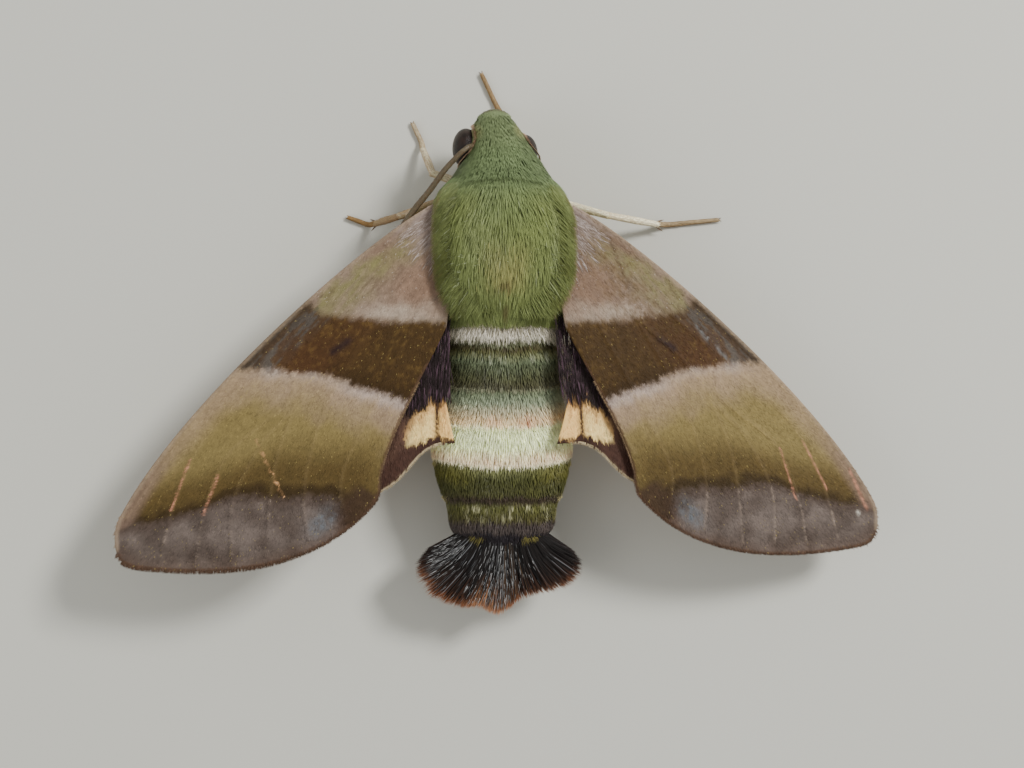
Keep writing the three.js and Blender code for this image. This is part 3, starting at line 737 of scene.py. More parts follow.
# The chest's hair is made in three layers.
THORAX_LAYERS, LAYER_HAIRS = 3, 10800
# The pale green of the painted glints on the chest's hair.
GLINT_GREEN = srgb(190, 198, 164)
for part in range(THORAX_LAYERS):
    side, y = scatter(LAYER_HAIRS, y_low=-5.9, y_high=3.6, reach=2.15)
    flank = ramp(np.abs(side), 0.7, 1.25)
    length = rng.uniform(0.9, 1.5, len(y)) * (1 - 0.45 * ramp(y, 0.5, 3.2)) * (1 + 0.35 * flank)
    length = np.minimum(length, y + 6.5 + rng.normal(0, 0.10, len(y)))
    keep = length > 0.25
    side, y, length, flank = side[keep], y[keep], length[keep], flank[keep]
    depth = np.interp(y, trunk_at, trunk_rows[:, 3])
    lift = depth * rng.uniform(0.4 + 0.4 * flank, 0.95 + 0.6 * flank) * ramp(length, 0.1, 0.9)
    drift = 0.2 * ramp(y, -1, 2) - 0.45 * ramp(-y, 2.2, 5.0) * (1 - 0.8 * flank)
    drift = drift + rng.normal(0, 0.08, len(y))
    tint = varied(trunk_point(side, y - 0.55 * length), spread=0.08, seed=10 + part)
    # A few hairs, most of them on the flanks, are lightened as painted glints, and a few in the middle of the
    # back as painted yellow glints.
    painted_sheen = rng.random(len(y)) < 0.01 + 0.03 * ramp(np.abs(side), 0.75, 1.15) * ramp(-y, -1.0, 1.5)
    tint = over(tint, GLINT_GREEN, painted_sheen * rng.uniform(0.1, 0.4, len(y)))
    middle = ramp(-np.abs(side), -0.5, -0.1) * ramp(-y, 0.2, 1.5) * ramp(y, -3.8, -3.0)
    yellow_glint = rng.random(len(y)) < 0.14 * middle
    tint = over(tint, srgb(186, 178, 104), yellow_glint * rng.uniform(0.2, 0.6, len(y)))
    coat = comb(f"thorax_coat_{part + 1}", side, y, length, lift, drift,
                width=rng.uniform(0.045, 0.07, len(y)), tint=tint, stations=(0, 0.45, 1))
    show(coat.name, coat, hair_finish, "green_coat")

# Short pale blades among the hairs of the flanks and the rear of the chest are painted glints.
count = 700
y = rng.uniform(-5.6, 0.4, count)
side = np.where(rng.random(count) < 0.75, rng.choice([-1.0, 1.0], count) * rng.normal(1.0, 0.2, count),
                rng.uniform(-1.0, 1.0, count))
keep = (y < -1.0) | (rng.random(count) < 0.4)
side, y = side[keep], y[keep]
depth = np.interp(y, trunk_at, trunk_rows[:, 3])
tint = tones(srgb(196, 206, 170), rng.uniform(0.5, 1.0, len(y)))
glints = comb("thorax_glints", side, y, length=rng.uniform(0.14, 0.3, len(y)),
              lift=depth * rng.uniform(1.0, 1.5, len(y)), drift=rng.normal(0, 0.1, len(y)),
              width=rng.uniform(0.03, 0.045, len(y)), tint=tint, stations=STRAIGHT)
show("thorax_glints", glints, hair_finish, "green_coat")

# The shoulder plates end in brushes that lie back over the wing roots: where their tips reach to, at
# each place along the body, on the left and on the right.
BRUSH_TIPS = np.array([
    (-6.1, 3.45, 3.3), (-5.5, 3.85, 3.7), (-4.6, 4.25, 4.25), (-3.3, 4.55, 4.7), (-1.3, 4.68, 4.75),
    (0.4, 4.68, 4.68), (1.2, 4.55, 4.42), (1.85, 4.35, 4.15), (2.4, 4.05, 3.85),
])
BRUSH_FLOOR = 7.72
count = 4300
hand = rng.choice([-1.0, 1.0], count)
tip_y = rng.uniform(-6.05, 2.3, count)
reach = np.where(hand < 0, np.interp(tip_y, BRUSH_TIPS[:, 0], BRUSH_TIPS[:, 1]),
                 np.interp(tip_y, BRUSH_TIPS[:, 0], BRUSH_TIPS[:, 2]))
inset = np.abs(rng.normal(0, 0.35 + 0.9 * ramp(-tip_y, 3.8, 5.6), count)) - 0.08
tip_x = hand * (reach - inset)
length = rng.uniform(0.9, 1.6, count)
root_y = np.minimum(tip_y + length, 3.2)
girth = np.interp(root_y, trunk_at, trunk_rows[:, 0])
side = hand * np.arcsin(np.clip(np.abs(tip_x) * rng.uniform(0.72, 0.88, count) / girth, 0, 0.95))
root = trunk_point(side, root_y)
tip_rise = np.minimum(inset, 0.5) * 0.9 + rng.uniform(0.05, 0.25, count) - 0.1 * ramp(-tip_y, 4.5, 6.0)
tip = np.stack([tip_x, tip_y, BRUSH_FLOOR + tip_rise], axis=-1)
crest = np.interp(tip_y, (1.0, 2.3), (0.0, 1.0))
tip[:, 2] -= crest * 0.9
knee = (root + tip) / 2
knee[:, 0] += hand * 0.12
knee[:, 2] = np.maximum(root[:, 2], tip[:, 2]) + 0.22
t = np.array((0, 0.4, 0.72, 1))
spine = bowed(root, knee, tip, t[None])
lobe = np.stack([np.clip(tip_x, -4.4, 4.4), tip_y, 7.5 + 0 * tip_y], axis=-1)
# The left brushes are made darker than the right ones as painted shade, and a few brushes are lightened as
# painted glints.
tint = coat_colour(lobe) * np.clip(0.86 + 0.09 * hand + rng.normal(0, 0.1, count), 0.5, 1.6)[:, None]
tint = over(tint, srgb(96, 84, 50), (inset < 0.1) * rng.uniform(0, 0.7, count))
tint = over(tint, GLINT_GREEN, (rng.random(count) < 0.02) * rng.uniform(0.1, 0.4, count))
up = unit(np.stack([hand * 0.7, 0 * hand, 1 + 0 * hand], axis=-1))
brushes = strands("shoulder_brushes", spine, up,
                  rng.uniform(0.04, 0.065, count)[:, None] * np.interp(t, *POINTED), tint,
                  trunk_place(side, root_y))
show("shoulder_brushes", brushes, hair_finish, "green_coat")

# Broader and sparser hair covers the breast.
side, y = scatter(9000, y_low=-6.0, y_high=3.0, reach=math.pi)
keep = np.abs(side) > 2.0
side, y = side[keep], y[keep]
tint = varied(trunk_point(side, y), spread=0.10, seed=20)
breast = comb("breast_coat", side, y, length=rng.uniform(0.7, 1.1, len(y)),
              lift=rng.uniform(0.2, 0.6, len(y)), drift=0.0,
              width=rng.uniform(0.07, 0.11, len(y)), tint=tint, stations=CURVED)
show("breast_coat", breast, hair_finish, "green_coat")

# Scales for each millimetre of the belly's length, and the rear and front ends of its four pieces.
BELLY_SCALES = 2250
BELLY_PARTS = ((-10.6, -7.0), (-13.1, -10.5), (-15.6, -13.0), (-20.4, -15.4))
for part, (rear, front) in enumerate(BELLY_PARTS):
    side, y = scatter(int(BELLY_SCALES * (front - rear)), rear, front, reach=math.pi)
    keep = (np.abs(side) < 1.9) | (rng.random(len(y)) < 0.4)
    side, y = side[keep], y[keep]
    length = rng.uniform(0.4, 0.75, len(y))
    glint = 1 + (rng.random(len(y)) < 0.04) * rng.uniform(0.2, 0.9, len(y))
    tint = varied(trunk_point(side, y - 0.55 * length), spread=0.09, seed=30 + part) * glint[:, None]
    coat = comb(f"abdomen_coat_{part + 1}", side, y, length, lift=rng.uniform(0.1, 0.26, len(y)),
                drift=rng.normal(0, 0.07, len(y)), width=rng.uniform(0.05, 0.08, len(y)), tint=tint,
                stations=(0, 0.6, 1), thickness=0.2)
    show(coat.name, coat, scale_finish, "abdomen_coat")

# ---- Fringes and side tufts of the body ----
# Longer pale hairs: the collar that hides the waist, the hair at the rear edge of each belly ring, and
# small brushes that stand out at the sides of the last rings.
count = 3000
side = rng.uniform(-1.75, 1.75, count)
y = rng.uniform(-6.75, -6.0, count)
length = rng.uniform(0.35, 0.95, count)
white_hair = (rng.random(count) < 0.45) * rng.uniform(0.5, 1.0, count)
cream = varied(trunk_point(side, y - 0.6 * length), spread=0.2, seed=40) * 0.85
cream = over(cream, srgb(236, 228, 212), white_hair)
waist = comb("waist_fringe", side, y, length, lift=rng.uniform(0.2, 0.5, count),
             drift=rng.normal(0, 0.2, count), width=rng.uniform(0.035, 0.055, count), tint=cream,
             stations=CURVED)
show("waist_fringe", waist, hair_finish, "abdomen_coat")

# Each ring's edge, and how many hairs stand on it.
FRINGE_HAIRS = {-17.6: 700, -15.4: 1000, -13.0: 1400, -10.5: 900, -8.9: 500, -7.4: 900}
fringe_parts = []
for edge, count in FRINGE_HAIRS.items():
    side = rng.uniform(-1.9, 1.9, count)
    y = edge + rng.uniform(0.02, 0.2, count)
    y = y + y - ring_place(np.sin(side), y)
    fringe_parts.append((side, y, rng.uniform(0.14, 0.28, count)))
side, y, length = (np.concatenate(column) for column in zip(*fringe_parts))
tint = varied(trunk_point(side, y - length * 0.8), spread=0.12, seed=41)
ring_fringe = comb("ring_fringes", side, y, length, lift=rng.uniform(0.2, 0.3, len(y)), drift=0.0,
                   width=rng.uniform(0.05, 0.08, len(y)), tint=tint, stations=STRAIGHT)
show("ring_fringes", ring_fringe, scale_finish, "abdomen_coat")

# The hairs of the side brushes stand at these edges, so many on each side.
TUFT_HAIRS = {-15.45: 75, -17.75: 105, -13.05: 45}
tuft_parts = []
for edge, count in TUFT_HAIRS.items():
    for hand in (-1, 1):
        tuft_parts.append((hand * rng.normal(1.5, 0.16, count), edge + rng.normal(0.42, 0.07, count),
                           rng.uniform(0.24, 0.46, count)))
side, y, length = (np.concatenate(column) for column in zip(*tuft_parts))
tint = tones(srgb(190, 180, 124), rng.uniform(0.5, 0.95, len(y)))
side_tufts = comb("side_tufts", side, y, length, lift=rng.uniform(0.15, 0.34, len(y)), drift=0.2,
                  width=rng.uniform(0.03, 0.05, len(y)), tint=tint, stations=(0, 0.35, 0.7, 1))
show("side_tufts", side_tufts, hair_finish, "abdomen_coat")

# ---- Tail fan ----
# Long narrow scales spread from the last ring in three lobes, in layers. They are black, some with a painted
# blue-grey sheen, and those that reach the margin end in rust brown.
FAN_MARGIN = np.array([
    (-3.14, -20.05), (-4.75, -20.85), (-5.42, -21.75), (-5.28, -23.00), (-4.50, -24.05), (-2.60, -24.75),
    (-1.32, -24.78), (0.01, -25.25), (0.41, -25.0), (1.34, -24.33), (2.17, -24.0), (3.67, -23.69),
    (4.51, -23.5), (5.3, -22.71), (5.4, -21.71), (4.95, -21.11), (3.51, -20.1),
])
# Each lobe's first and last place on the margin, as shares of its length.
FAN_LOBES = {"fan_left": (0.0, 0.41), "fan_middle": (0.37, 0.60), "fan_right": (0.56, 1.0)}
FAN_ROOT = {"half_width": 2.75, "y": -19.6, "z": 3.8, "half_height": 1.15, "tip_half_height": 0.42}
# Some of the scales draw together in locks, by a share of their distance from the lock's middle.
FAN_LOCKS = 31
LOCK_PULL = 0.3
LOCKED_SHARE = 0.3
margin_run = run_along(FAN_MARGIN)
margin_share = margin_run / margin_run[-1]


def margin_point(share):
    """The spot at a share of the way along the fan's margin."""
    return np.stack([np.interp(share, margin_share, FAN_MARGIN[:, i]) for i in range(2)], axis=-1)


def fan_blades(name, share, layer, start, reach, width, tint, stations, pull=0.0):
    """Blades from start to reach, as shares of the way from the ring's end to the fan's margin.

    share is the place along the margin, and layer is -1 on the underside and 1 on top.
    """
    t = start[:, None] + (reach - start)[:, None] * np.array(stations)
    spread = 2 * share - 1
    root = bent(np.stack([FAN_ROOT["half_width"] * spread, FAN_ROOT["y"] + 0 * share], axis=-1))
    lock = (np.round(share * FAN_LOCKS + np.sin(share * 37)) - np.sin(share * 37)) / FAN_LOCKS
    tip = margin_point(np.clip(share + (lock - share) * pull, 0, 1))
    bend = root + (tip - root) * np.array([0.3, 0.6])
    plan = bowed(root, bend, tip, t)
    round_end = np.sqrt(np.clip(1 - spread ** 2, 0.1, 1))
    half_height = (FAN_ROOT["half_height"] * round_end)[:, None] * (1 - t) + (
        FAN_ROOT["tip_half_height"] * t)
    arch = 0.35 * t * (1 - t)
    z = FAN_ROOT["z"] + layer[:, None] * half_height + arch
    spine = np.concatenate([plan, z[..., None]], axis=-1)
    up = np.stack([0.5 * spread, 0.1 + 0 * share, np.where(layer < 0, -1.0, 1.0)], axis=-1)
    blade = width[:, None] * np.interp(stations, [0, 0.6, 1], [0.8, 1.0, 0.3])
    place = np.stack([share, 0.03 + 0.2 * (layer + 1) + 0.5 * start], axis=-1)
    return strands(name, spine, unit(up), blade, tint, np.clip(place, 0, 1), thickness=0.2)


fan_paint = Paint("fan scales", Roughness=0.45, Specular_IOR_Level=0.2)
fan_along = fan_paint.read("along")
fan_fleck = fan_paint.noise(size=0.4, detail=3)
fan_finish = fan_paint.finish(
    Base_Color=fan_paint.shade(fan_paint.read("tint", "Color"), 0.7 + fan_along * 0.5 + fan_fleck * 0.2),
    Roughness=0.4 + fan_fleck * 0.25)
FAN_STEPS = (0, 0.5, 0.9, 1)
FAN_SCALES = 4300
for lobe, (first, final) in FAN_LOBES.items():
    count = FAN_SCALES
    share = rng.uniform(first, final, count)
    layer = rng.uniform(-1, 1, count)
    outermost = rng.random(count) < 0.62 - 0.25 * (layer > 0.3)
    ragged = 0.03 * np.sin(share * 61) * np.sin(share * 23)
    reach = np.where(outermost, rng.normal(0.975, 0.04, count) + ragged, rng.uniform(0.35, 0.9, count))
    reach = np.minimum(reach, 1.05)
    x = margin_point(share)[:, 0]
    dark = tones(srgb(30, 25, 23), rng.uniform(0.3, 1.0, count))
    brown = rng.random(count) < 0.30 * ramp(x, -0.6, 0.6) * ramp(-x, -2.4, -1.2)
    dark = over(dark, srgb(84, 66, 48), brown * rng.uniform(0.3, 0.9, count))
    # Some blades carry a painted blue-grey sheen, most in the middle lobe and at the outer left.
    shine = 0.03 + 0.55 * ramp(-np.abs(x + 0.7), -1.6, -0.3) + 0.40 * ramp(-x, 3.3, 4.6)
    painted_sheen = (rng.random(count) < shine * 0.5) * rng.uniform(0.1, 0.48, count) * (layer > -0.3)
    sheen = over(dark, srgb(150, 152, 154), painted_sheen)
    middle = ramp(-np.abs(x + 0.9), -2.2, -0.4)
    rust = between(srgb(150, 84, 48), srgb(246, 182, 132),
                   rng.uniform(0.2, 1.0, count) * (0.3 + 0.7 * middle))
    behind = 1 - 0.95 * ramp(np.abs(2 * share - 1), 0.54, 0.76)
    tip = over(dark, rust,
               outermost * rng.uniform(0.4, 1.0, count) * (1 - 0.3 * ramp(x, 1.2, 2.6)) * behind)
    near_tip = over(sheen, rust, (0.12 + 0.45 * middle) * outermost * rng.random(count) * behind)
    tint = np.stack([dark, sheen, near_tip, tip], axis=1)
    pull = np.where(rng.random(count) < LOCKED_SHARE, LOCK_PULL, 0.0)
    blades = fan_blades(lobe, share, layer, start=np.zeros(count), reach=reach,
                        width=rng.uniform(0.05, 0.085, count), tint=tint, stations=FAN_STEPS, pull=pull)
    show(f"{lobe}_scales", blades, fan_finish, "fan_scales", lobe)

# Short pale blades scattered over the black ones are painted glints.
count = 1100
share = np.where(rng.random(count) < 0.4, rng.normal(0.14, 0.06, count), rng.normal(0.5, 0.08, count))
share = np.clip(share, 0.02, 0.98)
start = np.where(share < 0.3, rng.uniform(0.3, 0.86, count), rng.uniform(0.12, 0.9, count))
tint = tones(srgb(196, 196, 194), rng.uniform(0.0, 1.0, count) ** 2)
glints = fan_blades("fan_glints", share, layer=rng.uniform(0.9, 1.12, count), start=start,
                    reach=start + rng.uniform(0.04, 0.12, count), width=rng.uniform(0.025, 0.04, count),
                    tint=tint, stations=STRAIGHT)
show("fan_glints", glints, fan_finish, "fan_scales")

# On each side a patch of short olive scales covers the fan's root.
count = 420
hand = np.where(rng.random(count) < 0.5, -1, 1)
share = 0.5 + hand * rng.normal(0.3, 0.06, count)
tint = tones(srgb(116, 108, 54), rng.uniform(0.3, 1.0, count))
patches = fan_blades("fan_patches", share, layer=rng.uniform(0.75, 1.25, count), start=0.0 * share,
                     reach=rng.uniform(0.1, 0.24, count), width=rng.uniform(0.035, 0.055, count),
                     tint=tint, stations=CURVED)
show("fan_patches", patches, hair_finish, "fan_scales")

# ---- Forewings ----
# Each is a thin membrane covered with scales, stiffened by raised veins and a thick front edge, and
# hinged on the side of the chest. u runs along the wing from its hinge and v back towards the tail.
WING_ROOT = (4.2, 1.2)
WING_ROOT_HEIGHT = 7.55
# Which way it points, its sweep and slope, and the turn and inner reach of its hindwing.
WING_SIDES = {"left": (-1, 47.5, 3.5, 0.0, 1.0), "right": (1, 45.2, 8.5, 4.5, 1.6)}
DROOP, DROOP_CENTRE, DROOP_REACH = 0.6, 8.0, 10.0
FOREWING_FRONT = [
    [(0, -0.45), (5.5, -2.3), (21.5, -3.7), (28.6, -1.5)],
    [(28.6, -1.5), (29.7, -0.9), (30.1, 0)],
]
FOREWING_REAR = [
    [(0.4, 2.2), (5.2, 5.5)],
    [(5.2, 5.5), (9.0, 6.7), (12.6, 7.3), (15.2, 8.9)],
    [(15.2, 8.9), (15.9, 9.75), (16.8, 9.75)],
    [(16.8, 9.75), (22.8, 9.9), (27.0, 5.0), (29.4, 1.9)],
    [(29.4, 1.9), (30.2, 0.9), (30.2, 0.4)],
]
# Edges of the markings: place along the wing for each place across it.
BAND_INNER = [(-2.4, 9.7), (-1.0, 9.9), (0.4, 9.0), (1.95, 7.9), (3.6, 6.5), (5.2, 5.1), (7.5, 3.2)]
BAND_OUTER = [(-2.6, 16.4), (-1.6, 15.4), (-0.3, 14.5), (0.6, 13.8), (1.5, 13.0), (2.8, 12.4),
              (4.2, 11.8), (5.8, 11.0), (7.0, 10.3), (8.5, 9.5)]
WAVE = [(-3.0, 30.5), (-1.2, 28.9), (-0.8, 28.2), (0.1, 27.0), (0.8, 25.9), (1.75, 24.4), (2.5, 22.9),
        (3.5, 21.6), (5.1, 20.3), (6.45, 18.9), (7.4, 18.1), (8.2, 18.2), (9.3, 18.8), (10.2, 19.4)]
VEINS = [
    [(0, -0.2), (8, -1.7), (20, -2.25), (28.0, -1.25)],
    [(0.2, 0.6), (7, 0.1), (13.5, -0.6), (21.8, -0.85), (25.6, 0.5), (28.4, 2.1)],
    [(13.6, -0.5), (14.0, 0.4), (21.4, 0.9), (24.4, 2.15), (26.9, 3.8)],
    [(14.0, 0.4), (14.0, 1.0), (19.0, 1.9), (22.8, 3.15), (25.3, 5.4)],
    [(0.3, 1.2), (7, 1.7), (13.8, 1.5), (18.3, 3.0), (20.9, 4.65), (23.7, 7.0)],
    [(8.5, 1.8), (12.5, 2.8), (16.5, 4.3), (19.4, 6.2), (21.1, 8.1)],
    [(0.5, 1.8), (6, 3.6), (12.5, 5.6), (17.6, 7.7), (18.6, 9.2)],
]
BAND_DASH = [(10.1, 1.5), (11.3, 1.25)]
# Marks of one wing alone, two of them painted shade: a line, how far it spreads, its colour and its strength.
PINK = (204, 140, 112)
OWN_MARKS_AND_SHADE = {
    "left": (([(22.5, -0.8), (25.7, 0.5)], 0.055, PINK, 0.6),
             ([(22.0, 1.2), (24.5, 2.2)], 0.055, PINK, 0.6),
             ([(18.7, 1.4), (19.5, 3.4), (20.2, 5.2)], 0.05, (206, 156, 108), 0.55)),
    "right": (([(21.1, 0.7), (24.3, 2.3)], 0.055, PINK, 0.5),
              ([(21.9, -0.8), (25.5, 0.3)], 0.06, PINK, 0.6),
              ([(25.7, -1.8), (28.5, -0.8)], 0.1, PINK, 0.4),
              ([(28.15, -0.2), (28.25, -0.15)], 0.12, (206, 200, 186), 0.6),
              ([(11.4, -0.9), (14.2, -0.9)], 0.13, (136, 142, 144), 0.3),
              ([(1.7, -1.3), (6.5, 0.7)], 0.16, (70, 54, 44), 0.4),
              # These two broad dark marks are painted shade over the right wing's base and band.
              ([(3.0, 0.5), (7.0, 1.0)], 2.4, (96, 76, 50), 0.3),
              ([(10.2, 0.5), (9.0, 4.0)], 1.8, (58, 42, 22), 0.3)),
}
# How clearly the pale veins show in the outermost part.
HEM_VEINS = {"left": 0.2, "right": 0.5}
FOREWING_THICKNESS = 0.12


def bezier(controls, shares):
    """Points at shares of the way along a curve drawn by its control points."""
    points = [np.array(c, float)[None] + 0 * shares[:, None] for c in controls]
    while len(points) > 1:
        points = [a + (b - a) * shares[:, None] for a, b in zip(points, points[1:])]
    return points[0]


def edge_line(curves, count):
    """Points at even steps along an edge made of curves."""
    line = np.concatenate([bezier(c, np.linspace(0, 1, 80)) for c in curves])
    run = run_along(line)
    at = np.linspace(0, run[-1], count)
    return np.stack([np.interp(at, run, line[:, i]) for i in range(2)], axis=-1)


def wing_spot(hand, root, turn, spot):
    """Place on the ground of a spot in a wing's own frame."""
    angle = math.radians(turn)
    u, v = spot[..., 0], spot[..., 1]
    outward = root[0] + u * math.cos(angle) - v * math.sin(angle)
    forward = root[1] - u * math.sin(angle) - v * math.cos(angle)
    return np.stack([hand * outward, forward], axis=-1)


def wing_height(sweep, slope, spot):
    """Height of the forewing's middle: a low roof with a drooping front edge."""
    angle = math.radians(sweep)
    outward = np.abs(spot[..., 0]) - WING_ROOT[0]
    forward = spot[..., 1] - WING_ROOT[1]
    back = -outward * math.sin(angle) - forward * math.cos(angle)
    droop = DROOP * np.minimum((back - DROOP_CENTRE) / DROOP_REACH, 0) ** 2
    return WING_ROOT_HEIGHT - outward * math.tan(math.radians(slope)) - droop


def line_distance(spots, line):
    """Distance of each spot from a line of straight pieces."""
    nearest = np.full(spots.shape[:-1], 1e9)
    for a, b in zip(np.array(line[:-1], float), np.array(line[1:], float)):
        t = np.clip(((spots - a) @ (b - a)) / ((b - a) @ (b - a)), 0, 1)
        nearest = np.minimum(nearest, np.linalg.norm(spots - a - t[..., None] * (b - a), axis=-1))
    return nearest


LINE_PIECES = 30
EDGE_STEP = 0.1


def rounded_line(points):
    """A smooth line through a few points."""
    points = np.array(points, float)
    run = run_along(points)
    return smooth_table(np.column_stack([run, points]), run[-1] / LINE_PIECES)[1]


def marking_edge(points, v):
    """The place along the wing of a marking's edge, at places across it."""
    at, rows = smooth_table(np.array(points), EDGE_STEP)
    return np.interp(v, at, rows[:, 0])


# The plates grow thinner over this width along their edges. Towards the tip it is counted in rows.
RIM_WIDTH, ROW_SPACE = 0.22, 0.12


def wing_plate(name, hand, spots, middle, half, chord):
    """A closed thin plate over a lattice of spots, thinned to its edges. half is half its thickness."""
    rows, columns = middle.shape
    share = np.linspace(0, 1, columns)[None, :]
    near_edge = np.minimum(np.minimum(share, 1 - share) * chord[:, None],
                           np.linspace(1, 0, rows)[:, None] * rows * ROW_SPACE)
    rim = np.sqrt(np.clip(near_edge / RIM_WIDTH, 0.02, 1))
    top = np.concatenate([spots, (middle + half * rim)[..., None]], axis=-1).reshape(-1, 3)
    bottom = np.concatenate([spots, (middle - half * rim)[..., None]], axis=-1).reshape(-1, 3)
    faces = grid_faces(rows, columns)
    count = rows * columns
    under = faces[:, ::-1] + count
    loop = np.concatenate([
        np.arange(columns - 1), np.arange(rows - 1) * columns + columns - 1,
        (rows - 1) * columns + np.arange(columns - 1, 0, -1), np.arange(rows - 1, 0, -1) * columns])
    after = np.roll(loop, -1)
    wall = np.stack([after, loop, loop + count, after + count], axis=-1)
    quads = np.concatenate([faces, under, wall])
    if hand < 0:
        quads = quads[:, ::-1]
    return make_mesh(name, np.concatenate([top, bottom]), quads)


WING_ROWS, WING_COLUMNS = 190, 84
front_edge = edge_line(FOREWING_FRONT, WING_ROWS)
rear_edge = edge_line(FOREWING_REAR, WING_ROWS)
# Every few points of the front rim and of the outer margin, to measure distances from.
FRONT_RIM = front_edge[::6]
OUTER_MARGIN = np.concatenate([rear_edge[45::5], rear_edge[-1:], front_edge[-1:]])


def on_flat(spots):
    """Spots of a wing as points of height 0."""
    return np.concatenate([spots, 0 * spots[..., :1]], axis=-1)


def nearest_line(spots, lines):
    """Distance of each spot from the nearest of some smooth lines."""
    return np.min([line_distance(spots, rounded_line(line)) for line in lines], axis=0)


def wing_relief(spots):
    """Height of the veins, the front rim and the soft waves over the wing's even surface."""
    vein = nearest_line(spots, VEINS)
    front = line_distance(spots, FRONT_RIM)
    wave = mottle(on_flat(spots), size=2.4, seed=2) - 0.5
    return 0.05 * np.exp(-(vein / 0.13) ** 2) + 0.10 * np.exp(-(front / 0.25) ** 2) + 0.05 * wave


def wash(under, upper, share):
    """A screen colour laid over others, by a share that is kept between 0 and 1."""
    return over(under, srgb(*upper), np.clip(share, 0, 1) + 0 * under[..., 0])


def ground(like, colour):
    """A screen colour at every spot."""
    return tones(srgb(*colour), 1 + 0 * like)


